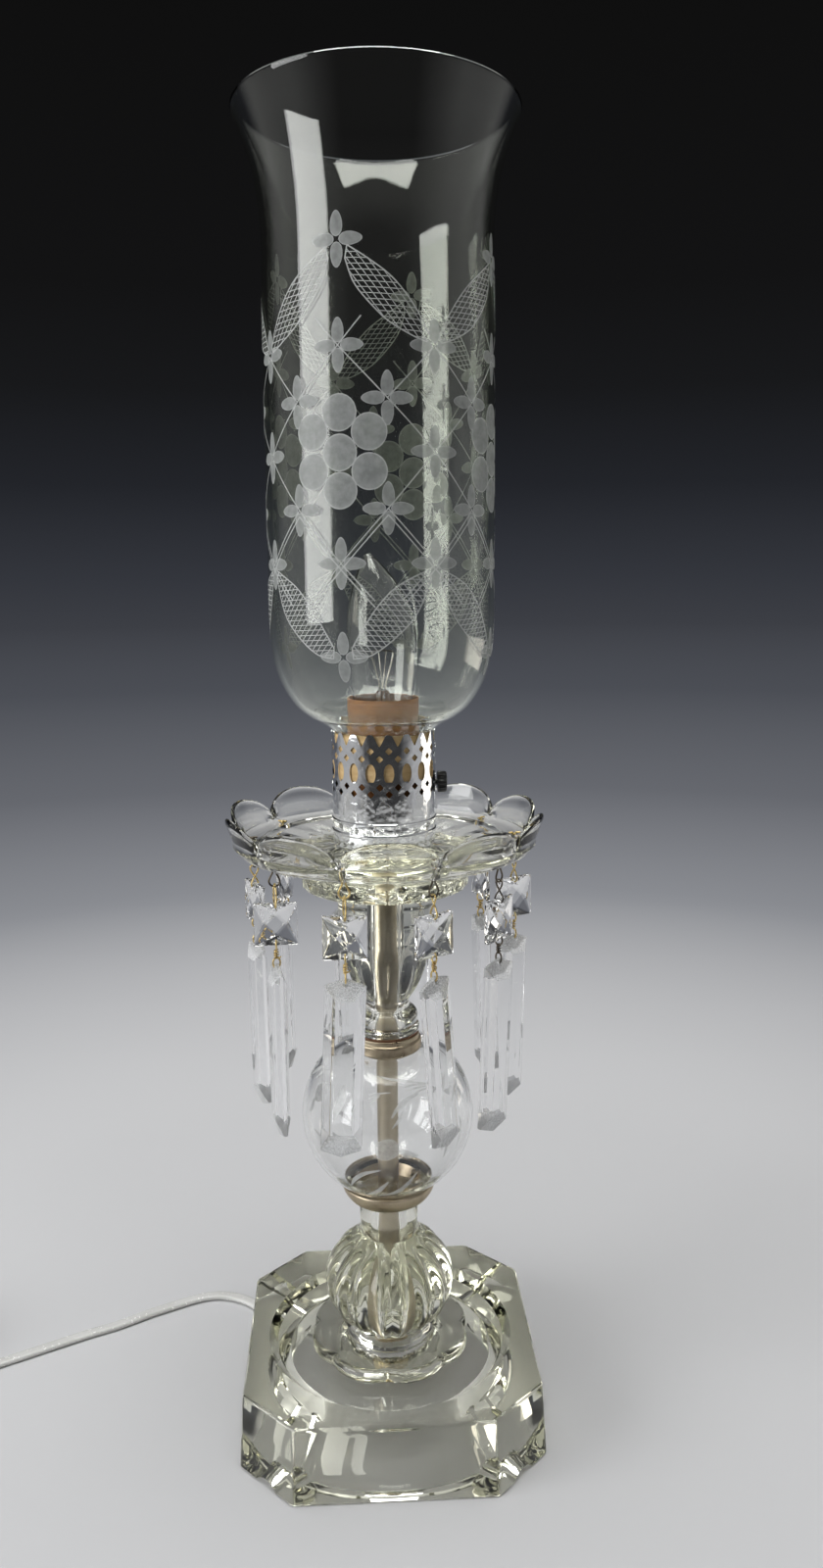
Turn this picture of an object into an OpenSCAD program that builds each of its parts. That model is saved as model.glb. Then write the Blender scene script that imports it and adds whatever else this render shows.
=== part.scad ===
// Crystal table lamp: pressed glass base, pedestal, stem and bobeche stacked on a lamp pipe,
// a blown globe, ten hanging drops, and an etched hurricane shade in a pierced gallery.
// Millimetres, +Z up, origin on the pipe's axis where the base rests. The front faces -Y.

/* [Base] */
// Width of the base across its flats at the table
base_w = 135.6; // [128:0.2:150]
// Width across the flats at the top rim
base_top_w = 131.4; // [126:0.2:140]
// Corner cut of the base, along each side
base_cut = 23.8; // [20:0.2:28]
// Height of the base
base_h = 35; // [30:0.5:45]
// Diameter of the round well at the rim
well_d = 112; // [104:1:116]
// Diameter of the well's flat floor
well_floor_d = 105; // [96:1:108]
// Depth of the well
well_depth = 4; // [3:0.5:7]
// Thickness of the glass under the well
plate_t = 9; // [7:0.5:12]
// Diameter of the hollow under the base, at the table
recess_d = 116; // [104:1:118]
// Diameter of the hollow at its roof
recess_roof_d = 96; // [84:1:102]
// Height of the arch under each cut corner
corner_arch_h = 2.8; // [1.6:0.2:4]
// Radius of the arch
corner_arch_r = 9; // [8:0.5:12]

/* [Pedestal] */
// Height of the pedestal
ped_h = 71; // [66:0.5:80]
// Diameter of the pedestal's ribbed bulb
bulb_rib_d = 59.6; // [54:0.2:64]
// Height of the widest part of the bulb above the pedestal's seat
bulb_rib_z = 30.5; // [28:0.5:34]
// Half height of the bulb's oval
bulb_rib_half_h = 24.6; // [22:0.2:25]
// Diameter of the pedestal's neck
ped_neck_d = 26.4; // [22:0.2:30]
// Depth of the grooves between the ribs
rib_depth = 1.8; // [0.6:0.1:2.4]
// Number of ribs
rib_count = 16; // [12:1:20]
// Diameter of the scalloped foot over its crests
foot_d = 74; // [70:0.5:80]
// Number of scallops on the foot
foot_scallops = 8; // [6:1:10]
// Thickness of the foot
foot_t = 6; // [4:0.5:8]
// Diameter of the hollow in the foot
foot_hollow_d = 34; // [30:0.5:36]
// Height of the hollow in the foot
foot_hollow_h = 9.5; // [9:0.5:11]

/* [Cup ring and check disc] */
// Diameter of the cup ring under the globe
cup_d = 43; // [40:0.5:48]
// Height of the cup ring
cup_h = 9.2; // [8:0.2:12]
// Thickness of the cup ring's metal
cup_t = 1.1; // [0.8:0.1:1.4]
// Depth of the globe's seat below the cup ring's rim
cup_recess = 0.8; // [0.5:0.1:1]
// Diameter of the check disc
disc_d = 31; // [29:0.5:36]
// Height of the check disc
disc_h = 8.4; // [7:0.2:10]
// Depth of the check disc's plug inside the globe
disc_plug_h = 3.2; // [2.6:0.2:5]

/* [Globe] */
// Outer diameter of the globe
globe_d = 77.6; // [72:0.2:84]
// Thickness of the globe's glass
globe_t = 1.8; // [1.4:0.1:2.4]
// Diameter of the globe's lower opening
globe_low_d = 36.6; // [34:0.2:38]
// Diameter of the globe's upper opening
globe_top_d = 26; // [24:0.5:28]
// Height of the globe's flattened top above its middle
globe_top_h = 30.6; // [29:0.2:34]

/* [Stem] */
// Height of the stem
stem_h = 66.4; // [60:0.2:74]
// Diameter of the stem's upper drum
stem_top_d = 42; // [38:0.5:46]
// Diameter of the plain band under the drum
stem_band_d = 40.6; // [36:0.2:44]
// Diameter of the stem's narrow neck
stem_neck_d = 19.2; // [17:0.2:22]
// Diameter of the ring above the stem's foot
stem_ring_d = 28; // [24:0.2:32]
// Diameter of the stem's foot
stem_foot_d = 29.4; // [26:0.2:34]
// Height of the stem's neck above its foot
stem_neck_z = 15; // [14:0.2:17]
// Height at which the fluted vase meets the band
stem_vase_top_z = 43.7; // [40:0.5:46]
// Height of the plain band
stem_band_h = 9; // [7:0.5:11]
// Number of flutes
flute_count = 10; // [8:1:14]
// Depth of the flutes
flute_depth = 1.3; // [0.6:0.1:1.6]

/* [Bobeche] */
// Radius of the scalloped rim at its crests
crest_r = 69.4; // [66:0.2:74]
// Radius of the rim at its valleys
valley_r = 64.9; // [62:0.2:66]
// Number of lobes and of drops
lobe_count = 10; // [8:1:12]
// Height of the crests above the bobeche's seat
crest_h = 34.8; // [32:0.2:38]
// Height of the dish's floor above the seat
dish_floor_h = 20; // [18:0.5:22]
// Height of the flange's top above the seat
flange_h = 22; // [20.5:0.5:24]
// Thickness of the flange
flange_t = 6; // [5:0.5:7]
// Radius of the raised line on the dish
dish_ring_r = 51.5; // [48:0.5:53]
// Radius of the stepped skirt underneath
skirt_r = 36.5; // [34:0.5:40]
// Height of the skirt
skirt_h = 8; // [6:0.5:9]
// Radius of the circle of hook holes
hook_r = 57; // [55:0.5:59]
// Diameter of a hook hole
hook_hole_d = 3.2; // [2.6:0.1:4]

/* [Lamp pipe] */
// Outer diameter of the lamp pipe
pipe_d = 9.5; // [9:0.1:10.3]
// Bore of the lamp pipe
pipe_bore = 7.1; // [6.4:0.1:7.4]
// Width of a pipe nut across its flats
nut_af = 14; // [13:0.5:16]
// Thickness of a pipe nut
nut_t = 4; // [3:0.5:5]
// Diameter of the washer under the base plate
washer_d = 19; // [17:0.5:24]
// Thickness of the washer
washer_t = 1.4; // [1:0.2:2]
// Diameter of the head of the collar's thumb screw
thumb_d = 8; // [6:0.5:9]
// Clearance of the glass bores round the pipe
glass_fit = 0.4; // [0.3:0.1:0.8]
// Clearance of a plain metal bore round the pipe
metal_fit = 0.1; // [0.05:0.05:0.3]
// Radial clearance of a thread
thread_fit = 0.05; // [0.02:0.01:0.1]

/* [Gallery] */
// Outer diameter of the pierced gallery
gallery_d = 44.5; // [43:0.1:46]
// Thickness of the gallery's sheet
gallery_t = 0.7; // [0.5:0.1:1]
// Height of the gallery to its crown points
gallery_h = 49.6; // [46:0.2:54]
// Depth of the crown between its points
crown_depth = 5.4; // [4:0.2:6]
// Number of repeats of the pierced pattern
pierce_count = 18; // [14:1:20]
// Width of a pierced diamond
diamond_w = 3.2; // [2.4:0.1:3.6]
// Width of a pierced oval
oval_w = 4.4; // [3.6:0.1:5]
// Height of a pierced oval
oval_h = 8.4; // [7:0.1:9.4]
// Height of the ovals' centre above the gallery's seat
oval_z = 33.2; // [32:0.1:34]
// Turn of the gallery's pattern about the lamp
gallery_turn = 4; // [-10:0.5:10]
// Height of the ledge that carries the shade, above the gallery's seat
ledge_h = 29.6; // [29:0.2:32]
// Thickness of the card shim
shim_t = 0.6; // [0.4:0.05:0.7]

/* [Socket and switch] */
// Outer diameter of the socket's card liner
liner_d = 30.6; // [30:0.1:32]
// Thickness of the liner
liner_t = 1; // [0.8:0.1:1.1]
// Height of the liner's top above the gallery's seat
liner_top_z = 63; // [60:0.5:66]
// Height of the switch shaft above the gallery's seat
knob_z = 26; // [25:0.2:27]
// Diameter of the turn knob
knob_d = 9.4; // [8:0.2:10]
// Length of the turn knob
knob_len = 4.2; // [3.4:0.2:6]
// Diameter of the switch shaft
shaft_d = 3; // [2.4:0.1:3.4]
// Clearance of the shaft in its holes
shaft_fit = 0.3; // [0.2:0.05:0.5]

/* [Bulb] */
// Widest diameter of the bulb's glass
bulb_d = 30; // [28:0.2:32]
// Height of the bulb's glass above its cap
bulb_glass_h = 68; // [62:0.5:74]
// How far the tip bends to the side
tip_bend = 6; // [0:0.5:8]
// Height of the filament above the cap
filament_h = 26; // [20:1:32]
// Half the length of the filament
filament_half = 4.6; // [3:0.2:6]
// Height of the bulb's glass mount above the cap
mount_h = 10; // [8:0.5:14]
// Diameter of the screw cap
cap_d = 26.3; // [26:0.1:26.4]
// Height of the screw cap
cap_h = 23; // [21:0.5:24]
// Clearance of the cap in the screw shell
cap_fit = 0.3; // [0.2:0.05:0.5]

/* [Shade] */
// Outer diameter of the shade's cylinder
shade_d = 94.2; // [90:0.2:98]
// Outer diameter of the flared mouth
mouth_d = 114.6; // [104:0.2:122]
// Height of the shade from the end of its neck to the rim
shade_h = 264; // [230:1:300]
// Outer diameter of the neck that stands in the gallery
neck_d = 41; // [40.4:0.1:41.4]
// Length of the neck
neck_len = 19.4; // [18:0.2:21]
// Thickness of the shade's glass
shade_t = 2.2; // [1.8:0.1:2.8]
// Radius of the shade's rounded lower end
shoulder_r = 41.4; // [34:0.2:43]
// Height of the flare
flare_h = 48; // [40:1:60]

/* [Drops] */
// Width of a square jewel
jewel_w = 17.8; // [16:0.2:20]
// Thickness of a jewel at its table
jewel_t = 6; // [4.4:0.2:6]
// Width of a prism
prism_w = 16.8; // [15:0.2:19]
// Length of a prism
prism_len = 76; // [60:1:84]
// Thickness of a prism
prism_t = 6.4; // [5:0.2:6.4]
// Height of a prism's pointed ends
prism_point = 3; // [1:0.2:5]
// Width of the bevels along a prism's sides
prism_bevel = 4.6; // [3:0.2:6]
// Length of the bevels at a prism's ends
prism_end_bevel = 8.4; // [8:0.2:12]
// Diameter of the holes in jewels and prisms
drop_hole_d = 2.2; // [2:0.1:2.6]
// Diameter of the wire
wire_d = 0.9; // [0.7:0.05:1]
// Mean radius of a wire eye
eye_r = 2.2; // [2:0.1:2.6]
// Height of the jewels' centres under the flange's top
jewel_drop = 28.4; // [27:0.2:32]
// Length of the link between jewel and prism, hole to hole
link_len = 12; // [11:0.5:15]
// Length of a hook's bent head on the flange
hook_head = 4.8; // [4:0.2:6]
// Length of the shank between the two eyes of an upper link
shank_len = 1.2; // [1:0.1:2]

/* [Cord] */
// Width of the flat cord
cord_w = 5.6; // [5:0.1:6.4]
// Thickness of the flat cord
cord_t = 2.8; // [2.4:0.1:3.2]
// Radius of the coil at the middle of its turns
coil_mid_r = 29.2; // [28:0.2:36]
// Number of turns in the coil
coil_turns = 8.24; // [4:0.01:12]
// Free space between neighbouring turns
coil_gap = 0.7; // [0.5:0.1:1.5]
// Thickness of the tie round the coil
tie_t = 0.6; // [0.4:0.1:1]
// Width of the tie
tie_w = 7; // [5:0.5:10]
// Length of the plug's body
plug_len = 24; // [20:1:30]
// Width of the plug's body
plug_w = 17; // [16:0.5:20]
// Thickness of the plug's body
plug_t = 9; // [8:0.5:12]
// Length of the plug's blades
blade_len = 16; // [14:0.5:18]

/* [Hidden] */
$fn = 64;

// Overrun of a cutter past the face it opens
eps = 0.5;

// Glass and metal colours
glass = [0.86, 0.91, 0.86, 0.55];
shade_glass = [0.9, 0.93, 0.9, 0.4];
chrome = [0.8, 0.81, 0.83];
brass = [0.55, 0.46, 0.3];
bronze = [0.42, 0.36, 0.27];
card_tan = [0.8, 0.66, 0.43];
card_brown = [0.5, 0.34, 0.2];
black = [0.07, 0.07, 0.07];

// Heights of the stack, each piece seated on the one below
well_z = base_h - well_depth;
recess_h = well_z - plate_t;
ped_z = well_z;
cup_z = ped_z + ped_h;
globe_seat_z = cup_z + cup_h - cup_recess;
globe_r = globe_d / 2;
globe_low_r = globe_low_d / 2;
globe_top_r = globe_top_d / 2;
globe_drop = sqrt(globe_r * globe_r - globe_low_r * globe_low_r);
globe_z = globe_seat_z + globe_drop;
disc_z = globe_z + globe_top_h;
stem_z = disc_z + disc_h;
bobeche_z = stem_z + stem_h;
gallery_z = bobeche_z + dish_floor_h;
flange_z = bobeche_z + flange_h;

// Lamp pipe
pipe_r = pipe_d / 2;
glass_bore_r = pipe_r + glass_fit;
pipe_low_z = recess_h - washer_t - nut_t - 4;
pipe_top_z = gallery_z + gallery_t + nut_t + 8;

// Drops: each jewel and prism hangs with its own turn about the vertical and its own lean
jewel_turn = [13, -6, -61, -20, 12, -15, 20, 28, 58, 18];
prism_turn = [28, -12, -48, -17, -20, 25, 30, 25, -20, 18];
prism_lean = [-6, 3, 2.5, 3.5, -1, 1.5, 2, -2, 0, 2.5];
lobe_step = 360 / lobe_count;
wire_r = wire_d / 2;
hole_inset = 2;
hook_z = flange_z + 0.2 + wire_r;
jewel_z = flange_z - jewel_drop;
jewel_hole_z = jewel_z + jewel_w / 2 - hole_inset;
jewel_low_z = jewel_z - jewel_w / 2 + hole_inset;
upper_eye_z = jewel_hole_z + eye_r;
link_top_z = upper_eye_z + 2 * eye_r + shank_len;
// The hook's lower wire, on which the upper link swings
hinge_z = link_top_z + eye_r - wire_d - 0.1;
hook_eye_z = hinge_z + eye_r;
lower_eye_z = jewel_low_z - eye_r;
prism_hole_z = jewel_low_z - link_len;
prism_eye_z = prism_hole_z + eye_r;

// A ring of points at height z with centre x
function ring(r, z, n, x = 0) =
    [for (i = [0 : n - 1]) [x + r * cos(360 * i / n), r * sin(360 * i / n), z]];

// Closed solid through rings that each hold the same number of points
module skin(rings) {
    n = len(rings[0]);
    m = len(rings);
    points = [for (r = rings) for (p = r) p];
    sides = [for (j = [0 : m - 2]) for (i = [0 : n - 1]) let (k = (i + 1) % n)
        each [[j * n + i, (j + 1) * n + i, (j + 1) * n + k],
              [j * n + i, (j + 1) * n + k, j * n + k]]];
    low = [for (i = [0 : n - 1]) i];
    high = [for (i = [n - 1 : -1 : 0]) (m - 1) * n + i];
    polyhedron(points, concat(sides, [low], [high]));
}

// Bore on the lamp's axis
module axis_bore(r, z, h) {
    translate([0, 0, z - eps])
        cylinder(r = r, h = h + 2 * eps);
}

// Copies one piece to the place of drop k
module at_drop(k) {
    rotate(k * lobe_step + lobe_step / 2)
        translate([0, -hook_r, 0])
            children();
}

// Wire eye standing upright, with its axis along X
module eye() {
    rotate([0, 90, 0])
        rotate_extrude($fn = 24)
            translate([eye_r, 0])
                circle(wire_r, $fn = 13);
}

// Square with cut corners
module cut_square(w, cut) {
    h = w / 2;
    c = h - cut;
    polygon([[h, -c], [h, c], [c, h], [-c, h], [-h, c], [-h, -c], [-c, -h], [c, -h]]);
}

// Scalloped outline: equal arcs that meet in the valleys, with the first crest at the front
module scalloped(crest, valley, count) {
    half = 180 / count;
    steps = 8;
    chord = valley * sin(half);
    rise = crest - valley * cos(half);
    rho = (chord * chord + rise * rise) / (2 * rise);
    c = crest - rho;
    polygon([for (k = [0 : count - 1]) for (i = [0 : steps - 1])
        let (b = -half + 2 * half * i / steps, a = b + 2 * half * k,
             r = c * cos(b) + sqrt(rho * rho - pow(c * sin(b), 2)))
        [r * sin(a), -r * cos(a)]]);
}

module base() {
    top_cut = base_cut * base_top_w / base_w;
    color(glass)
        difference() {
            hull() {
                linear_extrude(0.01)
                    cut_square(base_w, base_cut);
                translate([0, 0, base_h - 0.01])
                    linear_extrude(0.01)
                        cut_square(base_top_w, top_cut);
            }
            translate([0, 0, well_z])
                cylinder(d1 = well_floor_d, d2 = well_d, h = well_depth + 0.001);
            translate([0, 0, -0.001])
                cylinder(d1 = recess_d, d2 = recess_roof_d, h = recess_h + 0.001);
            axis_bore(glass_bore_r, recess_h, plate_t);
            for (a = [45 : 90 : 315])
                rotate(a)
                    translate([recess_roof_d / 2, 0, corner_arch_h - corner_arch_r])
                        rotate([0, 90, 0])
                            cylinder(r = corner_arch_r, h = base_w / 2);
            cord_notch(grommet_w + 0.8, grommet_h + 0.5);
        }
}

// Way out for the cord through the back left corner
module cord_notch(w, h) {
    rotate(135)
        translate([recess_roof_d / 2 - 8, -w / 2, -eps])
            cube([base_w / 2, w, h + eps]);
}

// Radius of the pedestal's body: a flare off the foot, an oval bulb and a plain neck
bulb_low_z = bulb_rib_z - bulb_rib_half_h * 0.744;
function oval_r(z) =
    let (u = (z - bulb_rib_z) / bulb_rib_half_h) abs(u) < 1 ? bulb_rib_d / 2 * sqrt(1 - u * u) : 0;
function ped_r(z) =
    z < bulb_low_z
    ? oval_r(bulb_low_z)
      + (foot_d / 2 - 6 - oval_r(bulb_low_z)) * pow((bulb_low_z - z) / (bulb_low_z - foot_t), 2)
    : pow(pow(oval_r(z), 4) + pow(z > bulb_rib_z ? ped_neck_d / 2 : 0, 4), 0.25);

// Ribs swell smoothly and meet in narrow grooves that fade out at the neck and foot
function ribbed(z, a) =
    let (neck_fade = min(1, max(0, (ped_r(z) - ped_neck_d / 2 - 1) / 6)),
         foot_fade = min(1, max(0, (z - foot_t - 1) / 7)))
    ped_r(z) - rib_depth * neck_fade * foot_fade * (1 - abs(sin(rib_count * a / 2)));

module pedestal() {
    side = rib_count * 4;
    top = ped_h - 8;
    levels = concat([foot_t - 0.6, foot_t + 1.4, foot_t + 3.4],
        [for (i = [0 : 13]) bulb_low_z + (top - bulb_low_z) * i / 13]);
    body = [for (z = levels) [for (i = [0 : side - 1]) let (a = 360 * i / side)
        [ribbed(z, a) * cos(a), ribbed(z, a) * sin(a), z]]];
    color(glass)
        translate([0, 0, ped_z])
            difference() {
                union() {
                    skin(body);
                    linear_extrude(foot_t)
                        scalloped(foot_d / 2, foot_d / 2 - 2.2, foot_scallops);
                    translate([0, 0, top - 1.5])
                        cylinder(d = ped_neck_d + 0.8, h = ped_h - top + 1.5);
                }
                translate([0, 0, -eps])
                    cylinder(d = foot_hollow_d, h = foot_hollow_h + eps);
                axis_bore(glass_bore_r, 0, ped_h);
            }
}

module cup_ring() {
    r = cup_d / 2;
    seat = globe_low_r;
    seat_h = cup_h - cup_recess;
    bore = pipe_r + metal_fit;
    color(bronze)
        translate([0, 0, cup_z])
            rotate_extrude()
                polygon([
                    [bore, 0], [seat - 4, 0], [seat - 0.5, 1.2], [r - 1, seat_h - 3.4],
                    [r, cup_h - 0.6], [r - 0.4, cup_h], [r - cup_t, cup_h], [r - cup_t - 0.5, seat_h - 0.05],
                    [seat - 1.6, seat_h - 0.05], [seat - 2.6, seat_h - 1.6], [seat - 4.5, cup_t + 0.6],
                    [bore, cup_t + 0.6]
                ]);
}

// Half height of the globe's wall at radius r, flattened to the seat of the check disc
function globe_top(r, inset) =
    let (s = sqrt(max(0.01, pow(globe_r - inset, 2) - r * r)), c = globe_top_h + 0.7 - inset)
    pow(pow(s, -9) + pow(c, -9), -1 / 9);

module globe() {
    inner_r = globe_r - globe_t;
    low_a = asin(globe_drop / globe_r);
    low_in = asin(globe_drop / inner_r);
    outer = concat(
        [for (i = [0 : 8]) let (a = -low_a + low_a * i / 8) [globe_r * cos(a), globe_r * sin(a)]],
        [for (i = [1 : 8]) let (r = globe_r * cos(7.4 * i)) [r, globe_top(r, 0)]],
        [[globe_top_r, globe_top_h]]
    );
    inner = concat(
        [[globe_top_r, globe_top_h - globe_t]],
        [for (i = [8 : -1 : 1]) let (r = inner_r * cos(7.4 * i)) [r, globe_top(r, globe_t)]],
        [for (i = [8 : -1 : 0]) let (a = -low_in + low_in * i / 8) [inner_r * cos(a), inner_r * sin(a)]]
    );
    color(shade_glass)
        translate([0, 0, globe_z])
            rotate_extrude()
                polygon(concat(outer, inner));
}

module check_disc() {
    r = disc_d / 2;
    plug_r = globe_top_r - 0.3;
    bore = pipe_r + metal_fit;
    color(bronze)
        translate([0, 0, disc_z + 0.05])
            rotate_extrude()
                polygon([
                    [bore, -disc_plug_h], [plug_r - 0.8, -disc_plug_h], [plug_r, 0.6 - disc_plug_h],
                    [plug_r, 0], [r - 0.4, 0], [r, 0.5], [r, disc_h - 3.6], [r - 0.5, disc_h - 3.2],
                    [r - 0.9, disc_h - 3], [r - 0.9, disc_h - 1.3], [r - 1.5, disc_h - 1],
                    [r - 1.5, disc_h - 0.05], [bore, disc_h - 0.05]
                ]);
}

function vase_r(t) =
    let (neck = stem_neck_d / 2, top = stem_band_d / 2 - 0.4)
    neck + (top - neck) * pow(sin(90 * t), 0.72);

module stem() {
    side = flute_count * 6;
    levels = 10;
    vase_h = stem_vase_top_z - stem_neck_z;
    foot_r = stem_foot_d / 2;
    ring_r = stem_ring_d / 2;
    neck_r = stem_neck_d / 2;
    vase = [for (j = [0 : levels]) let (t = j / levels, r = vase_r(t), fade = sin(180 * min(1, t * 1.02)))
        [for (i = [0 : side - 1]) let (a = 360 * i / side,
            q = r - flute_depth * fade * abs(cos(flute_count * a / 2)))
            [q * cos(a), q * sin(a), stem_neck_z + vase_h * t]]];
    color(glass)
        translate([0, 0, stem_z])
            difference() {
                union() {
                    skin(vase);
                    rotate_extrude()
                        polygon([
                            [0, 0], [foot_r - 0.4, 0], [foot_r, 0.6], [foot_r, 2.2], [ring_r - 1.2, 2.9],
                            [ring_r - 0.3, 4.2], [ring_r, 6.3], [ring_r - 0.3, 8.4], [ring_r - 1.6, 10.2],
                            [neck_r + 0.8, 11.8], [neck_r + 0.4, 13.4], [neck_r + 0.4, stem_neck_z + 0.4],
                            [0, stem_neck_z + 0.4]
                        ]);
                    translate([0, 0, stem_vase_top_z - 0.6])
                        cylinder(d = stem_band_d, h = stem_band_h + 0.6);
                    translate([0, 0, stem_vase_top_z + stem_band_h])
                        cylinder(d = stem_top_d, h = stem_h - stem_vase_top_z - stem_band_h);
                }
                axis_bore(glass_bore_r, 0, stem_h);
            }
}

module bobeche() {
    under = flange_h - flange_t;
    plate = dish_floor_h - 7;
    skirt_low = plate - 4 - skirt_h;
    flange_in = hook_r - 5;
    flange_out = hook_r + 5;
    floor_r = skirt_r - 6.5;
    color(glass)
        translate([0, 0, bobeche_z])
            difference() {
                intersection() {
                    rotate_extrude()
                        polygon([
                            [0, 0], [stem_top_d / 2 + 2, 0], [stem_top_d / 2 + 2, skirt_low],
                            [skirt_r, skirt_low], [skirt_r, plate - 4], [skirt_r + 3, plate - 2],
                            [skirt_r + 9.5, plate], [flange_in, under], [flange_out, under + 1.2],
                            [valley_r + 1, under + 4],
                            [crest_r + 0.4, crest_h], [crest_r - 1.8, crest_h],
                            [valley_r - 1.2, flange_h + 3], [flange_out - 0.5, flange_h],
                            [dish_ring_r + 1.5, flange_h],
                            [dish_ring_r + 0.6, flange_h + 0.8], [dish_ring_r - 0.6, flange_h + 0.8],
                            [dish_ring_r - 2, flange_h - 0.8], [floor_r, dish_floor_h], [0, dish_floor_h]
                        ]);
                    linear_extrude(crest_h + 1)
                        scalloped(crest_r, valley_r, lobe_count);
                }
                axis_bore(glass_bore_r, 0, dish_floor_h);
                for (k = [0 : lobe_count - 1])
                    at_drop(k)
                        translate([0, 0, under - eps])
                            cylinder(d = hook_hole_d, h = flange_t + 4);
            }
}

module lamp_pipe() {
    color(brass)
        difference() {
            translate([0, 0, pipe_low_z])
                cylinder(d = pipe_d, h = pipe_top_z - pipe_low_z);
            axis_bore(pipe_bore / 2, pipe_low_z, pipe_top_z - pipe_low_z);
        }
}

module hex_nut(z) {
    translate([0, 0, z])
        difference() {
            cylinder(d = nut_af / cos(30), h = nut_t, $fn = 6);
            translate([0, 0, -eps])
                cylinder(r = pipe_r + thread_fit, h = nut_t + 2 * eps);
        }
}

module pipe_nuts() {
    color(brass) {
        hex_nut(recess_h - washer_t - nut_t);
        hex_nut(gallery_z + gallery_t);
    }
}

module base_washer() {
    color(bronze)
        difference() {
            translate([0, 0, recess_h - washer_t])
                cylinder(d = washer_d, h = washer_t);
            axis_bore(pipe_r + metal_fit, recess_h - washer_t, washer_t);
        }
}

// Collar that locks the pipe over the base plate, with a thumb screw in its side
module foot_collar() {
    collar_r = pipe_r + 2.6;
    collar_h = foot_hollow_h - 1.5;
    screw_z = well_z + collar_h / 2 + 0.4;
    screw_r = 1.6;
    color(brass)
        difference() {
            translate([0, 0, well_z])
                cylinder(r = collar_r, h = collar_h);
            axis_bore(pipe_r + thread_fit, well_z, collar_h);
            translate([0, 0, screw_z])
                rotate([0, 90, 0])
                    cylinder(r = screw_r + thread_fit, h = collar_r + eps);
        }
    color(black)
        translate([pipe_r + 0.3, 0, screw_z])
            rotate([0, 90, 0]) {
                cylinder(r = screw_r, h = collar_r - pipe_r + 1.2);
                translate([0, 0, collar_r - pipe_r + 0.6])
                    cylinder(d = min(thumb_d, 2 * (screw_z - well_z) - 0.6), h = 3);
            }
}

// One pierced opening at azimuth a and height z, cut straight through the wall
module pierce(a, z, w, h, corners) {
    rotate(a)
        translate([0, 2 - gallery_d / 2, z])
            rotate([90, 0, 0])
                linear_extrude(4)
                    polygon([for (i = [0 : corners - 1])
                        [w / 2 * sin(360 * i / corners), h / 2 * cos(360 * i / corners)]]);
}

module gallery() {
    r = gallery_d / 2;
    inside = r - gallery_t;
    pitch = 360 / pierce_count;
    rows = [[oval_z + 9.5, 0], [oval_z + 6.2, 0.5], [oval_z - 5.7, 0.5], [oval_z - 8.6, 0]];
    color(chrome)
        translate([0, 0, gallery_z])
            difference() {
                rotate_extrude()
                    polygon([
                        [pipe_r + metal_fit, 0.05], [r - 1, 0.05], [r, 1], [r, 5.4], [r + 0.5, 5.9],
                        [r + 0.5, 6.7], [r, 7.2], [r, 10.8], [r + 0.4, 11.1], [r + 0.4, 11.7], [r, 12],
                        [r, gallery_h], [inside, gallery_h], [inside, ledge_h], [liner_d / 2 + 0.6, ledge_h],
                        [liner_d / 2 + 0.6, ledge_h - gallery_t], [inside, ledge_h - gallery_t],
                        [inside, 1.4], [inside - 0.8, gallery_t], [pipe_r + metal_fit, gallery_t]
                    ]);
                rotate(gallery_turn)
                    gallery_pattern(rows, pitch);
                translate([r - 2, 0, knob_z])
                    rotate([0, 90, 0])
                        cylinder(r = shaft_d / 2 + shaft_fit, h = 4);
            }
}

module gallery_pattern(rows, pitch) {
    crown_w = gallery_d * PI / pierce_count * 0.8;
    for (k = [0 : pierce_count - 1]) {
        for (row = rows)
            pierce((k + row[1]) * pitch, row[0], diamond_w, diamond_w, 4);
        pierce(k * pitch, oval_z, oval_w, oval_h, 10);
        pierce((k + 0.5) * pitch, gallery_h + 0.6, crown_w, 2 * (crown_depth + 0.6), 4);
    }
}

// Card sleeve between the gallery and the shade's neck, standing on the ledge
module shade_shim() {
    outer = gallery_d / 2 - gallery_t - 0.05;
    shim_h = gallery_h - ledge_h - 0.25;
    color(card_tan)
        translate([0, 0, gallery_z + ledge_h + 0.05])
            difference() {
                cylinder(r = outer, h = shim_h);
                translate([0, 0, -eps])
                    cylinder(r = outer - shim_t, h = shim_h + 2 * eps);
            }
}

// The socket stands on the pipe's upper end
socket_z = gallery_z + gallery_t + nut_t + 0.5;
liner_r = liner_d / 2;
body_z = socket_z + 5;
body_top_z = gallery_z + knob_z + 5;
shell_r = cap_d / 2 + cap_fit;
shell_t = 0.4;
cap_low_z = body_top_z + 2.4;

module socket_cap() {
    color(brass)
        translate([0, 0, socket_z])
            rotate_extrude()
                polygon([
                    [pipe_r + thread_fit, 0], [9, 0], [liner_r - 2, 3.2], [liner_r, 4.4], [liner_r, 6.6],
                    [liner_r - 0.8, 6.6], [liner_r - 0.8, 5], [liner_r - 3, 4], [pipe_r + 3, 2.2],
                    [pipe_r + 2, 4.6], [pipe_r + thread_fit, 4.6]
                ]);
}

module socket_body() {
    r = liner_r - liner_t - 0.2;
    color(black)
        difference() {
            translate([0, 0, body_z])
                cylinder(r = r, h = body_top_z - body_z);
            translate([0, 0, body_z - eps])
                cylinder(r = pipe_r + 2.6, h = pipe_top_z - body_z + 1);
            translate([4, 0, gallery_z + knob_z])
                rotate([0, 90, 0])
                    cylinder(r = shaft_d / 2 + shaft_fit, h = r);
        }
}

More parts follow.
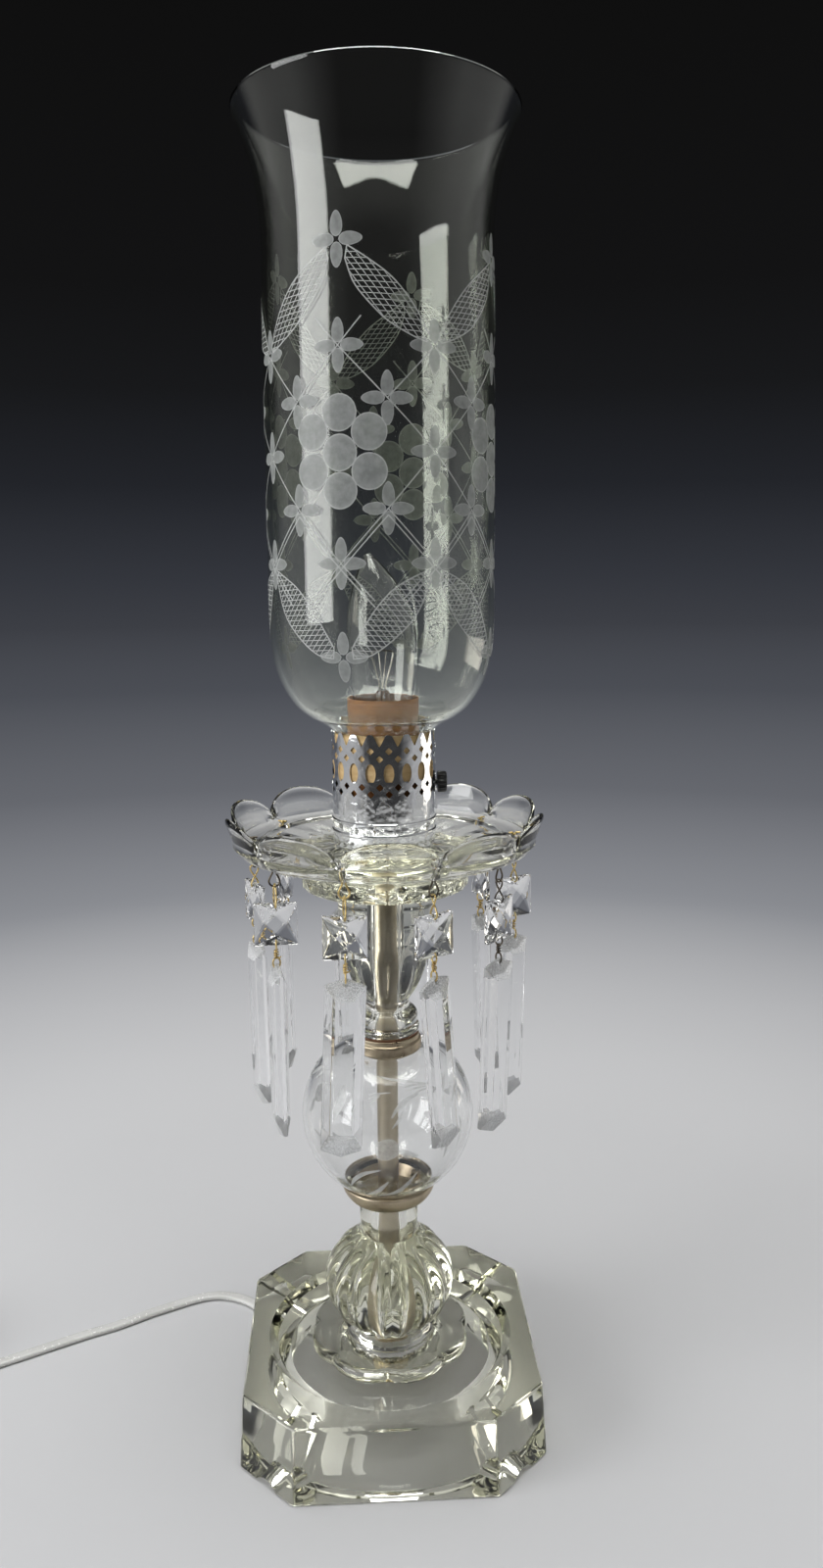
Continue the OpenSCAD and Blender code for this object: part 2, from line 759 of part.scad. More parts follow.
// Screw shell and the centre contact's tongue
module socket_contacts() {
    color(brass) {
        translate([0, 0, body_top_z])
            difference() {
                cylinder(r = shell_r + shell_t, h = cap_h);
                translate([0, 0, -eps])
                    cylinder(r = shell_r, h = cap_h + 2 * eps);
            }
        translate([-4, -2.5, body_top_z])
            cube([8, 5, 1.2]);
    }
}

module socket_liner() {
    low = socket_z + 6.9;
    color(card_brown)
        difference() {
            translate([0, 0, low])
                cylinder(r = liner_r, h = gallery_z + liner_top_z - low);
            axis_bore(liner_r - liner_t, low, gallery_z + liner_top_z - low);
            translate([0, 0, gallery_z + knob_z])
                rotate([0, 90, 0])
                    cylinder(r = shaft_d / 2 + shaft_fit, h = liner_d);
        }
}

// Ribbed knob on its shaft, through the gallery's right side
module switch_knob() {
    outer = gallery_d / 2 + 0.8;
    color(black)
        translate([0, 0, gallery_z + knob_z])
            rotate([0, 90, 0]) {
                translate([0, 0, 4.6])
                    cylinder(d = shaft_d, h = outer - 4.3);
                translate([0, 0, outer])
                    difference() {
                        cylinder(d = knob_d, h = knob_len);
                        for (a = [0 : 20 : 340])
                            rotate(a)
                                translate([knob_d / 2 + 0.15, 0, -eps])
                                    cylinder(r = 0.45, h = knob_len + 2 * eps);
                    }
            }
}

// Outer outline of the shade from the neck's end to the rim, as radius and height
function shade_outline(inset) =
    let (r = shade_d / 2, sr = shoulder_r, cx = r - sr, neck = neck_d / 2,
         a0 = acos((neck - cx) / sr), cz = neck_len + sr * sin(a0),
         rise = (mouth_d - shade_d) / 2,
         fr = (flare_h * flare_h + rise * rise) / (2 * rise), fa = asin(flare_h / fr),
         flare_z = shade_h - flare_h)
    concat(
        [[neck - inset, 0]],
        [for (i = [0 : 8]) let (a = -a0 + a0 * i / 8)
            [cx + (sr - inset) * cos(a), cz + (sr - inset) * sin(a)]],
        [for (i = [0 : 6]) let (a = fa * i / 6)
            [r + fr - (fr + inset) * cos(a), flare_z + fr * sin(a)]]
    );

module shade() {
    outer = shade_outline(0);
    inner = shade_outline(shade_t);
    n = len(inner);
    back = [for (i = [n - 1 : -1 : 0]) inner[i]];
    color(shade_glass)
        translate([0, 0, shade_z])
            rotate_extrude()
                polygon(concat(outer, back));
}
// The neck stands on the gallery's ledge
shade_z = gallery_z + ledge_h + 0.3;

// Bulb glass: radius and sideways bend along its height from 0 to 1
function bulb_r(t, inset) =
    let (wide = bulb_d / 2, neck = cap_d / 2 - 1.2,
         r = t < 0.42 ? neck + (wide - neck) * sin(90 * t / 0.42)
                      : wide * pow(cos(90 * pow((t - 0.42) / 0.58, 1.25)), 0.9))
    max(r - inset, 0.4);

function bulb_x(t) = -tip_bend * pow(max(0, t - 0.35) / 0.65, 2.2);

bulb_z = cap_low_z + cap_h;

module bulb_glass() {
    wall = 0.8;
    side = 24;
    levels = 14;
    outer = [for (j = [0 : levels]) let (t = j / levels * 0.985)
        ring(bulb_r(t, 0), bulb_z + bulb_glass_h * t, side, bulb_x(t))];
    inner = [for (j = [0 : levels - 1]) let (t = j / levels * 0.985)
        ring(bulb_r(t, wall), bulb_z + bulb_glass_h * t + (j == 0 ? -0.2 : 0), side, bulb_x(t))];
    color(shade_glass)
        difference() {
            skin(outer);
            skin(inner);
        }
}

module bulb_cap() {
    r = cap_d / 2;
    color(chrome)
        translate([0, 0, cap_low_z])
            difference() {
                union() {
                    translate([0, 0, 5])
                        cylinder(r = r, h = cap_h - 5);
                    translate([0, 0, 1.6])
                        cylinder(r1 = 6, r2 = r - 1, h = 3.4);
                    cylinder(r = 5, h = 1.6);
                }
                translate([0, 0, 6])
                    cylinder(r = r - 1, h = cap_h);
            }
}

// Glass mount with two lead wires, supports and filament
module bulb_mount() {
    flare_h = 8;
    mount_r = 3;
    lead_z = bulb_z + mount_h - 1;
    top = bulb_z + filament_h;
    color([0.7, 0.7, 0.66]) {
        translate([0, 0, bulb_z - flare_h]) {
            cylinder(r1 = cap_d / 2 - 1.25, r2 = mount_r, h = flare_h);
            cylinder(r = mount_r, h = flare_h + mount_h);
        }
        for (x = [-filament_half, filament_half]) {
            translate([0, 0, lead_z])
                rotate([0, atan2(x, top - lead_z), 0])
                    cylinder(r = 0.35, h = norm([x, top - lead_z]));
            translate([x, 0, top])
                sphere(0.6);
        }
        translate([-filament_half, 0, top])
            rotate([0, 90, 0])
                cylinder(r = 0.3, h = 2 * filament_half);
    }
}

// Hooks: a bent head on the flange, a shank through the hole and an eye under the flange
module hooks() {
    color(bronze)
        for (k = [0 : lobe_count - 1])
            at_drop(k) {
                translate([0, hook_head * 0.46, hook_z])
                    rotate([90, 0, 0])
                        cylinder(r = wire_r, h = hook_head);
                translate([0, 0, hook_eye_z + eye_r])
                    cylinder(r = wire_r, h = hook_z - hook_eye_z - eye_r);
                translate([0, 0, hook_eye_z])
                    rotate(90 + jewel_turn[k])
                        eye();
            }
}

// Upper and lower links of drop k: two eyes on a short shank each
module links(k) {
    color(brass)
        at_drop(k) {
            rotate(jewel_turn[k]) {
                translate([0, 0, link_top_z])
                    eye();
                translate([0, 0, upper_eye_z])
                    eye();
                translate([0, 0, upper_eye_z + eye_r - wire_r / 2])
                    cylinder(r = wire_r, h = link_top_z - upper_eye_z - 2 * eye_r + wire_r);
                translate([0, 0, lower_eye_z])
                    eye();
            }
            translate([0, 0, prism_eye_z + eye_r - wire_r / 2])
                cylinder(r = wire_r, h = lower_eye_z - prism_eye_z - 2 * eye_r + wire_r);
            translate([0, 0, prism_eye_z])
                rotate(prism_turn[k])
                    eye();
        }
}

// Square jewel: a low pyramid with a small table on each face, drilled near top and bottom
module jewel(k) {
    h = jewel_w / 2;
    table = jewel_w * 0.2;
    color(shade_glass)
        at_drop(k)
            translate([0, 0, jewel_z])
                rotate([90, 0, jewel_turn[k]])
                    difference() {
                        hull() {
                            linear_extrude(1.8, center = true)
                                square(jewel_w, center = true);
                            linear_extrude(jewel_t, center = true)
                                square(table, center = true);
                        }
                        for (s = [-1, 1])
                            translate([0, s * (h - hole_inset), 0])
                                cylinder(d = drop_hole_d, h = jewel_w, center = true);
                    }
}

// Pointed bar outline of a prism, with its upper hole at the origin
module prism_outline() {
    w = prism_w / 2;
    low = hole_inset - prism_len;
    polygon([
        [0, hole_inset], [w, hole_inset - prism_point], [w, low + prism_point], [0, low],
        [-w, low + prism_point], [-w, hole_inset - prism_point]
    ]);
}

// Long prism: a bevelled bar with low pointed ends, drilled near the top
module prism(k) {
    table_w = prism_w - 2 * prism_bevel;
    table_top = hole_inset - prism_end_bevel;
    table_low = hole_inset - prism_len + prism_end_bevel;
    color(shade_glass)
        at_drop(k)
            translate([0, 0, prism_hole_z])
                rotate([0, 0, prism_turn[k]])
                    rotate([90, prism_lean[k], 0])
                        difference() {
                            hull() {
                                linear_extrude(1.6, center = true)
                                    prism_outline();
                                linear_extrude(prism_t, center = true)
                                    translate([-table_w / 2, table_low])
                                        square([table_w, table_top - table_low]);
                            }
                            cylinder(d = drop_hole_d, h = prism_w, center = true);
                        }
}

// Cord route over the table, from the grommet in the base to the coil
cord_points = [
    [-59, 59], [-63, 63], [-67, 67], [-73, 72.4], [-80, 76.6], [-88, 79], [-96, 78.8],
    [-105, 75.8], [-114, 71.4], [-124, 66.4], [-133, 61], [-142, 56], [-151, 52], [-160, 47.6],
    [-169, 43], [-177.5, 38.6], [-186, 34.2], [-194, 30.2], [-203, 25.6], [-212, 20.8],
    [-221, 16], [-227, 12.8], [-233, 9.6]
];
cord_flat_z = cord_t / 2 + 0.2;
coil_low_z = tie_t + 0.6 + cord_w / 2;
twist_from = 17;

// Centre of the coil: its first turn carries on from the route's last stretch
cord_last = cord_points[len(cord_points) - 1];
cord_before = cord_points[len(cord_points) - 2];
coil_start_a = atan2(cord_last[1] - cord_before[1], cord_last[0] - cord_before[0]) + 90;
coil_pitch = cord_t + coil_gap;
layer_h = cord_w + 0.6;
coil_lead = 6;
half_turns = coil_turns / 2;
coil_out_r = coil_mid_r + half_turns * coil_pitch / 2;
coil_in_r = coil_mid_r - half_turns * coil_pitch / 2;
coil_dir = [sin(coil_start_a), -cos(coil_start_a)];
coil_x = cord_last[0] + coil_lead * coil_dir[0] - coil_out_r * cos(coil_start_a);
coil_y = cord_last[1] + coil_lead * coil_dir[1] - coil_out_r * sin(coil_start_a);

// Turns in, a climb of half a turn, then turns out over the first layer
climb_from = half_turns - 0.25;
climb_to = half_turns + 0.25;
function smooth(x) = let (u = min(1, max(0, x))) u * u * (3 - 2 * u);
function coil_r(t) =
    t < climb_to ? coil_out_r - coil_pitch * t
                 : coil_out_r - coil_pitch * climb_to + coil_pitch * (t - climb_to)
                   + coil_pitch * smooth((t - climb_to) / 0.5);
function coil_h(t) = coil_low_z + layer_h * smooth((t - climb_from) / (climb_to - climb_from));

// The last stretch leaves the coil's upper layer and comes down beside it to the plug
coil_rings = ceil(coil_turns * 24);
end_a = coil_start_a - 360 * coil_turns;
end_r = coil_r(coil_turns);
end_dir = [sin(end_a), -cos(end_a)];
end_side = [cos(end_a), sin(end_a)];
lead_len = 42;
lead_clear = 16;
lead_bend_r = 60;
lead_turn = (lead_len - lead_clear) / lead_bend_r * 180 / PI;
plug_z = plug_t / 2 + 0.2;
function lead_point(u) =
    let (s = lead_len * u, a = max(0, s - lead_clear) / lead_bend_r * 180 / PI,
         ahead = min(s, lead_clear) + lead_bend_r * sin(a), inward = lead_bend_r * (1 - cos(a)),
         drop = smooth((s - lead_clear + 2) / (lead_len - lead_clear)))
    [coil_x + (end_r - inward) * end_side[0] + ahead * end_dir[0],
     coil_y + (end_r - inward) * end_side[1] + ahead * end_dir[1],
     coil_low_z + layer_h + (plug_z - coil_low_z - layer_h) * drop];

plug_a = end_a - lead_turn;
plug_dir = [sin(plug_a), -cos(plug_a)];
lead_end = lead_point(1);

coil_points = concat(
    [[cord_last[0], cord_last[1], coil_low_z]],
    [for (i = [0 : coil_rings]) let (t = coil_turns * i / coil_rings, a = coil_start_a - 360 * t)
        [coil_x + coil_r(t) * cos(a), coil_y + coil_r(t) * sin(a), coil_h(t)]],
    [for (i = [1 : 7]) lead_point(i / 7)],
    [[lead_end[0] + coil_lead * plug_dir[0], lead_end[1] + coil_lead * plug_dir[1], plug_z]]
);
coil_end = coil_points[len(coil_points) - 1];

// Flat section of the cord, n points, turned by twist about the line of the cord
function flat_ring(p, along, twist, n) =
    let (side = [along[1], -along[0], 0] / norm([along[0], along[1], 0]), up = cross(side, along))
    [for (i = [0 : n - 1])
        let (a = 360 * (i + 0.5) / n, u = cord_w / 2 * flat_u(a), v = cord_t / 2 * flat_v(a))
        p + side * (u * cos(twist) - v * sin(twist)) + up * (u * sin(twist) + v * cos(twist))];
function flat_u(a) = sign(cos(a)) * pow(abs(cos(a)), 0.55) * 1.02;
function flat_v(a) = sign(sin(a)) * pow(abs(sin(a)), 0.5) * 1.08;

function along(p, i) =
    let (d = p[min(i + 1, len(p) - 1)] - p[max(i - 1, 0)]) d / norm(d);

// Tapered strain relief in the base's notch, from inside the hollow to the cord's first point
grommet_len = 24;
cord_exit = norm(cord_points[0]);
grommet_w = cord_w + 1.8;
grommet_h = cord_t + 2.6;
module cord_grommet() {
    color([0.8, 0.78, 0.72])
        rotate(135)
            hull() {
                translate([cord_exit - grommet_len, -grommet_w / 2, 0.1])
                    cube([5, grommet_w, grommet_h]);
                translate([cord_exit - 0.6, -(cord_w + 0.8) / 2, 0.1])
                    cube([0.55, cord_w + 0.8, cord_t + 0.8]);
            }
}

// Cord from the pipe's lower end to the grommet, as distance from the axis and height
lead_points = [
    [0, 20], [0, 15], [0.8, 11.8], [3.4, 8.8], [8, 6.6], [15, 5.2], [23, 4.2], [32, 3.4],
    [42, 2.9], [52, 2.7]
];
module inner_lead() {
    p = concat([for (q = lead_points) [q[0], 0, q[1]]], [[cord_exit - grommet_len - 0.05, 0, 2.7]]);
    n = len(p);
    color([0.86, 0.84, 0.78, 0.8])
        rotate(135)
            skin([for (i = [0 : n - 1]) let (dir = along(p, i), up = cross(dir, [0, 1, 0]))
                [for (k = [0 : 11]) let (a = 360 * (k + 0.5) / 12)
                    p[i] + [0, cord_w / 2 * flat_u(a), 0] + up * cord_t / 2 * flat_v(a)]]);
}

module cord_run() {
    n = len(cord_points);
    path = [for (i = [0 : n - 1]) let (u = smooth((i - twist_from) / (n - 2 - twist_from)))
        [cord_points[i][0], cord_points[i][1], cord_flat_z + (coil_low_z - cord_flat_z) * u]];
    color([0.86, 0.84, 0.78, 0.8])
        skin([for (i = [0 : n - 1]) flat_ring(path[i], along(path, i),
            90 * smooth((i - twist_from) / (n - 2 - twist_from)), 12)]);
}

module cord_coil() {
    p = coil_points;
    color([0.86, 0.84, 0.78, 0.8])
        skin([for (i = [0 : len(p) - 1]) hex_ring(p[i], along(p, i))]);
}

// Six-sided section standing on edge
function hex_ring(p, along) =
    let (side = [along[1], -along[0], 0] / norm([along[0], along[1], 0]), up = cross(side, along),
         x = cord_t / 2, z = cord_w / 2)
    [for (q = [[x, -z * 0.6], [x, z * 0.6], [0, z], [-x, z * 0.6], [-x, -z * 0.6], [0, -z]])
        p + side * q[0] + up * q[1]];

// Places a piece on the cord's end, with +Y along the cord
module at_cord_end() {
    translate(coil_end)
        rotate(atan2(plug_dir[1], plug_dir[0]) - 90)
            children();
}

// Polarised two-blade plug: a rounded body that narrows to the cord
module plug_body() {
    half_w = plug_w / 2;
    color([0.9, 0.88, 0.82])
        at_cord_end()
            hull() {
                translate([0, 0.05, 0])
                    rotate([-90, 0, 0])
                        linear_extrude(0.5)
                            square([cord_t + 2.4, cord_w + 1.2], center = true);
                for (x = [-1, 1])
                    translate([x * (half_w - 2.5), plug_len * 0.45, 0])
                        cylinder(r = 2.5, h = plug_t - 0.4, center = true, $fn = 16);
                translate([0, plug_len - 1, 0])
                    cube([plug_w, 2, plug_t], center = true);
            }
}

module plug_blades() {
    color(brass)
        at_cord_end()
            for (x = [-6.35, 6.35])
                translate([x - 0.75, plug_len + 0.05, -3.2])
                    difference() {
                        cube([1.5, blade_len, x < 0 ? 7.2 : 6.35]);
                        translate([-1, blade_len - 4.6, 3.2])
                            rotate([0, 90, 0])
                                cylinder(d = 3, h = 4);
                    }
}

// Strap round the coil's bundle of turns, away from the climb
module cord_tie() {
    a = coil_start_a + 150;
    in_r = coil_in_r - 3.4;
    out_r = coil_out_r + cord_t + 1.2;
    low = 0.2;
    high = coil_low_z + layer_h + cord_w / 2 + 0.4;
    color([0.12, 0.12, 0.12])
        translate([coil_x, coil_y, 0])
            rotate(a)
                translate([0, tie_w / 2, 0])
                    rotate([90, 0, 0])
                        linear_extrude(tie_w)
                            difference() {
                                translate([in_r - tie_t, low])
                                    square([out_r - in_r + 2 * tie_t, high - low + tie_t]);
                                translate([in_r, low + tie_t])
                                    square([out_r - in_r, high - low - tie_t]);
                            }
}

base();
pedestal();
cup_ring();
globe();
check_disc();
stem();
bobeche();
lamp_pipe();
pipe_nuts();
base_washer();
foot_collar();
gallery();
shade_shim();
socket_cap();
socket_body();
socket_contacts();
socket_liner();
switch_knob();
shade();
bulb_glass();
bulb_cap();
bulb_mount();
hooks();
cord_run();
cord_coil();
plug_body();
plug_blades();
cord_grommet();
inner_lead();
cord_tie();
for (k = [0 : 9])
    links(k);
for (k = [0 : 9])
    jewel(k);
for (k = [0 : 9])
    prism(k);
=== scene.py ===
import math

import bmesh
import bpy
from mathutils import Matrix, Vector
from mathutils.geometry import delaunay_2d_cdt

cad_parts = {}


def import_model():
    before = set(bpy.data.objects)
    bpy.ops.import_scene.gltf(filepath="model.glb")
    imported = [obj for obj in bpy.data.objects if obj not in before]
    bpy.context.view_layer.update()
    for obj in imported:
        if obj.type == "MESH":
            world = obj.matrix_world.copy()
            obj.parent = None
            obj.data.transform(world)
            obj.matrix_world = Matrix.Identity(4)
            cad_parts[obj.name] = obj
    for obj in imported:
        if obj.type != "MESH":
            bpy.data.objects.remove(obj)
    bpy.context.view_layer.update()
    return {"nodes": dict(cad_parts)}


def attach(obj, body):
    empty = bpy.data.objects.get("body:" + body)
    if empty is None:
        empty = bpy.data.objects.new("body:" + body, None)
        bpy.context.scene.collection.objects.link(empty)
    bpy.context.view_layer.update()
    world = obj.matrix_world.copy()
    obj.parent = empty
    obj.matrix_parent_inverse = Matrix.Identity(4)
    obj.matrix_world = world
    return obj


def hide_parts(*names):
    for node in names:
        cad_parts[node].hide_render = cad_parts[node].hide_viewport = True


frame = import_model()

MM = 0.001
scene = bpy.context.scene
scene.view_settings.view_transform = "Standard"
scene.cycles.max_bounces = 24
scene.cycles.transmission_bounces = 22
scene.cycles.glossy_bounces = 6
scene.cycles.diffuse_bounces = 4
scene.cycles.transparent_max_bounces = 24


# Small helpers
def sin(a):
    return math.sin(math.radians(a))


def cos(a):
    return math.cos(math.radians(a))


def smooth(x):
    x = min(1.0, max(0.0, x))
    return x * x * (3 - 2 * x)


def place(azimuth, r, z):
    """A point at an azimuth measured from the front (-Y) towards the right (+X)."""
    return (r * sin(azimuth), -r * cos(azimuth), z)


def bent(points, per=6, closed=False):
    """A smooth curve through points, by Catmull-Rom."""
    n = len(points)
    out = []
    last = n if closed else n - 1
    for i in range(last):
        if closed:
            a, b, c, d = (Vector(points[(i + k - 1) % n]) for k in range(4))
        else:
            b, c = Vector(points[i]), Vector(points[i + 1])
            a = Vector(points[i - 1]) if i else b + (b - c)
            d = Vector(points[i + 2]) if i + 2 < n else c + (c - b)
        for k in range(per):
            t = k / per
            out.append(
                0.5 * (2 * b + (c - a) * t + (2 * a - 5 * b + 4 * c - d) * t * t
                       + (3 * b - a - 3 * c + d) * t ** 3)
            )
    if not closed:
        out.append(Vector(points[-1]))
    return [tuple(p) for p in out]


def softened(outline, default=0.5, steps=3):
    """Rounds the corners of a closed outline of (radius, height[, rounding])."""
    out = []
    n = len(outline)
    for i in range(n):
        p = Vector(outline[i][:2])
        r = outline[i][2] if len(outline[i]) > 2 else default
        a, b = Vector(outline[i - 1][:2]) - p, Vector(outline[(i + 1) % n][:2]) - p
        if r <= 0 or a.length < 1e-6 or b.length < 1e-6:
            out.append(tuple(p))
            continue
        d = min(r, 0.45 * a.length, 0.45 * b.length)
        a, b = p + a.normalized() * d, p + b.normalized() * d
        for k in range(steps + 1):
            t = k / steps
            out.append(tuple(a * (1 - t) ** 2 + p * 2 * t * (1 - t) + b * t * t))
    return out


def piece(name, verts, faces, mat, body, replaces=(), slot=None, sharp=32, out=True):
    mesh = bpy.data.meshes.new(name)
    mesh.from_pydata([(x * MM, y * MM, z * MM) for x, y, z in verts], [], faces)
    if out:
        b = bmesh.new()
        b.from_mesh(mesh)
        bmesh.ops.remove_doubles(b, verts=b.verts, dist=1e-7)
        bmesh.ops.recalc_face_normals(b, faces=b.faces)
        b.to_mesh(mesh)
        b.free()
    mesh.validate()
    if sharp:
        mesh.shade_smooth()
        mesh.set_sharp_from_angle(angle=math.radians(sharp))
    else:
        mesh.shade_flat()
    ob = bpy.data.objects.new(name, mesh)
    scene.collection.objects.link(ob)
    for m in mat if isinstance(mat, (list, tuple)) else [mat]:
        mesh.materials.append(m)
    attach(ob, body)
    if replaces:
        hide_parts(*replaces)
    return ob


def rings_solid(rings, closed=True):
    """Vertices and faces through rings of equal point count; closed joins the last to the first."""
    n, m = len(rings[0]), len(rings)
    verts = [p for ring in rings for p in ring]
    faces = []
    for i in range(m if closed else m - 1):
        i2 = (i + 1) % m
        for j in range(n):
            j2 = (j + 1) % n
            faces.append((i * n + j, i * n + j2, i2 * n + j2, i2 * n + j))
    if not closed:
        faces.append(tuple(range(n)))
        faces.append(tuple((m - 1) * n + j for j in reversed(range(n))))
    return verts, faces


def spun(outline, n=96, angles=None):
    """Closed outline of (radius, height) turned about the axis."""
    angles = angles or [360 * j / n for j in range(n)]
    return rings_solid([[(r * cos(a), r * sin(a), z) for a in angles] for r, z in outline])


def tube(path, radius, n=10, closed=False):
    """Round tube along a path."""
    pts = [Vector(p) for p in path]
    m = len(pts)
    rings = []
    up = None
    for i, p in enumerate(pts):
        if closed:
            d = (pts[(i + 1) % m] - pts[i - 1]).normalized()
        else:
            d = (pts[min(i + 1, m - 1)] - pts[max(i - 1, 0)]).normalized()
        if up is None:
            up = d.cross(Vector((0, 0, 1)))
            if up.length < 0.1:
                up = d.cross(Vector((0, 1, 0)))
            up.normalize()
        up = (up - d * up.dot(d)).normalized()
        side = d.cross(up)
        rings.append([tuple(p + up * radius * cos(360 * k / n) + side * radius * sin(360 * k / n))
                      for k in range(n)])
    return rings_solid(rings, closed)


def joined(parts):
    verts, faces = [], []
    for v, f in parts:
        k = len(verts)
        verts += v
        faces += [tuple(i + k for i in face) for face in f]
    return verts, faces


def turned(part, angle, move=(0, 0, 0)):
    v, f = part
    return [(x * cos(angle) - y * sin(angle) + move[0], x * sin(angle) + y * cos(angle) + move[1],
             z + move[2]) for x, y, z in v], f


# Camera
def look():
    heading, pitch, roll = 2.97, 10.12, -0.42
    ahead = Vector((sin(heading) * cos(pitch), cos(heading) * cos(pitch), -sin(pitch)))
    right = Vector((cos(heading), -sin(heading), 0))
    up = right.cross(ahead)
    r2 = right * cos(roll) + up * sin(roll)
    u2 = up * cos(roll) - right * sin(roll)
    data = bpy.data.cameras.new("camera")
    data.sensor_width = 36
    data.lens = 26.63
    data.clip_start = 0.02
    data.clip_end = 60
    cam = bpy.data.objects.new("camera", data)
    scene.collection.objects.link(cam)
    m = Matrix((r2, u2, -ahead)).transposed().to_4x4()
    m.translation = Vector((-0.0137, -0.4948, 0.3835))
    cam.matrix_world = m
    scene.camera = cam


look()


# Materials
def node(tree, kind, inputs=None, **attributes):
    n = tree.nodes.new(kind)
    for key, value in attributes.items():
        setattr(n, key, value)
    for key, value in (inputs or {}).items():
        if isinstance(value, bpy.types.NodeSocket):
            tree.links.new(value, n.inputs[key])
        else:
            n.inputs[key].default_value = value
    return n


def start(name):
    mat = bpy.data.materials.new(name)
    mat.use_nodes = True
    tree = mat.node_tree
    tree.nodes.clear()
    out = node(tree, "ShaderNodeOutputMaterial")
    where = node(tree, "ShaderNodeTexCoord").outputs["Object"]
    return mat, tree, out, where


def noise(tree, where, scale, detail=3.0, rough=0.5, stretch=None):
    if stretch:
        where = node(tree, "ShaderNodeMapping", {"Vector": where, "Scale": stretch}).outputs[0]
    return node(tree, "ShaderNodeTexNoise", {"Vector": where, "Scale": scale, "Detail": detail,
                                             "Roughness": rough}).outputs["Fac"]


def ramp(tree, fac, stops):
    n = node(tree, "ShaderNodeValToRGB", {"Fac": fac})
    e = n.color_ramp.elements
    while len(e) < len(stops):
        e.new(0.5)
    for el, (pos, col) in zip(e, stops):
        el.position = pos
        el.color = (*col, 1) if len(col) == 3 else col
    return n.outputs["Color"]


def spread(tree, fac, low, high, a=0.35, b=0.65):
    return node(tree, "ShaderNodeMapRange", {"Value": fac, "From Min": a, "From Max": b,
                                             "To Min": low, "To Max": high}).outputs["Result"]


def bump(tree, height, distance, strength=1.0, normal=None):
    ins = {"Height": height, "Distance": distance, "Strength": strength}
    if normal is not None:
        ins["Normal"] = normal
    return node(tree, "ShaderNodeBump", ins).outputs["Normal"]


def glass(name, tint, ior, low, high, absorb, density, wave, wave_scale):
    """Clear glass: faint swell in its surface, wiped patches, and a tint that grows with depth."""
    mat, t, out, where = start(name)
    swell = noise(t, where, wave_scale, 2.0)
    smear = noise(t, where, 70, 4.0, 0.6, (1, 1, 0.5))
    shader = node(t, "ShaderNodeBsdfPrincipled", {
        "Base Color": (*tint, 1), "Roughness": spread(t, smear, low, high), "IOR": ior,
        "Transmission Weight": 1.0, "Normal": bump(t, swell, wave)})
    t.links.new(shader.outputs[0], out.inputs["Surface"])
    if density:
        depth = node(t, "ShaderNodeVolumeAbsorption", {"Color": (*absorb, 1), "Density": density})
        t.links.new(depth.outputs[0], out.inputs["Volume"])
    return mat


def metal(name, stops, low, high, patch, grain=900, scratch=0.00002, dents=0.0):
    """Metal with a patina in patches, fine grain, shallow scratches and soft dents."""
    mat, t, out, where = start(name)
    patches = noise(t, where, patch, 5.0, 0.62)
    fine = noise(t, where, grain, 3.0, 0.6)
    lines = noise(t, where, 260, 2.0, 0.5, (1, 1, 9))
    colour = ramp(t, patches, stops)
    rough = spread(t, patches, low, high, 0.3, 0.7)
    form = bump(t, noise(t, where, 140, 2.0), dents)
    shader = node(t, "ShaderNodeBsdfPrincipled", {
        "Base Color": colour, "Metallic": 1.0, "Roughness": rough,
        "Normal": bump(t, lines, scratch, 0.6, bump(t, fine, scratch * 0.5, 1.0, form))})
    t.links.new(shader.outputs[0], out.inputs["Surface"])
    return mat


def matt(name, stops, low, high, scale, fine, depth, stretch=None, coat=0.0, sheen=0.0, see=0.0):
    """Card, plastic and the like: colour in patches, a fine grain in the surface."""
    mat, t, out, where = start(name)
    patches = noise(t, where, scale, 4.0, 0.6, stretch)
    grain = noise(t, where, fine, 3.0, 0.65, stretch)
    shader = node(t, "ShaderNodeBsdfPrincipled", {
        "Base Color": ramp(t, patches, stops), "Roughness": spread(t, grain, low, high),
        "Normal": bump(t, grain, depth), "Coat Weight": coat, "Sheen Weight": sheen,
        "Transmission Weight": see})
    t.links.new(shader.outputs[0], out.inputs["Surface"])
    return mat


def frost(name, dull, rim, low, high):
    """Ground marks: partly clear, with painted shading: a painted highlight at each cut's rim, duller middles."""
    mat, t, out, where = start(name)
    # Nearness to a cut's rim, which sets how much painted highlight each point gets
    edge = node(t, "ShaderNodeAttribute", attribute_name="rim").outputs["Fac"]
    grain = noise(t, where, 4000, 3.0, 0.65)
    cloud = noise(t, where, 350, 4.0, 0.6)
    colour = ramp(t, edge, [(0.0, dull), (0.5, tuple(c * 1.12 for c in dull)), (1.0, rim)])
    shader = node(t, "ShaderNodeBsdfPrincipled", {
        "Base Color": colour, "Roughness": spread(t, grain, 0.45, 0.65),
        "Alpha": spread(t, cloud, low, high), "Normal": bump(t, grain, 0.00003)})
    t.links.new(shader.outputs[0], out.inputs["Surface"])
    return mat


PRESSED = glass("pressed_glass", (0.99, 0.99, 0.97), 1.5, 0.0, 0.03,
                (0.93, 0.93, 0.66), 9.0, 0.00005, 55)
BLOWN = glass("blown_glass", (0.99, 0.995, 0.985), 1.47, 0.0, 0.02,
              (0.82, 0.95, 0.55), 42.0, 0.00002, 30)
CLEAR = glass("clear_globe", (0.99, 0.992, 0.99), 1.47, 0.0, 0.02,
              (0.92, 0.95, 0.9), 12.0, 0.00002, 30)
THIN = glass("bulb_clear", (0.99, 0.99, 0.99), 1.45, 0.0, 0.015, (1, 1, 1), 0.0, 0.00001, 40)
CUT = glass("cut_crystal", (0.985, 0.988, 0.99), 1.5, 0.0, 0.02, (1, 1, 1), 0.0, 0.000008, 120)
GROUND = matt("ground_ends", [(0.3, (0.86, 0.87, 0.87)), (0.7, (0.94, 0.945, 0.945))],
              0.2, 0.34, 300, 2500, 0.00001, see=0.6)
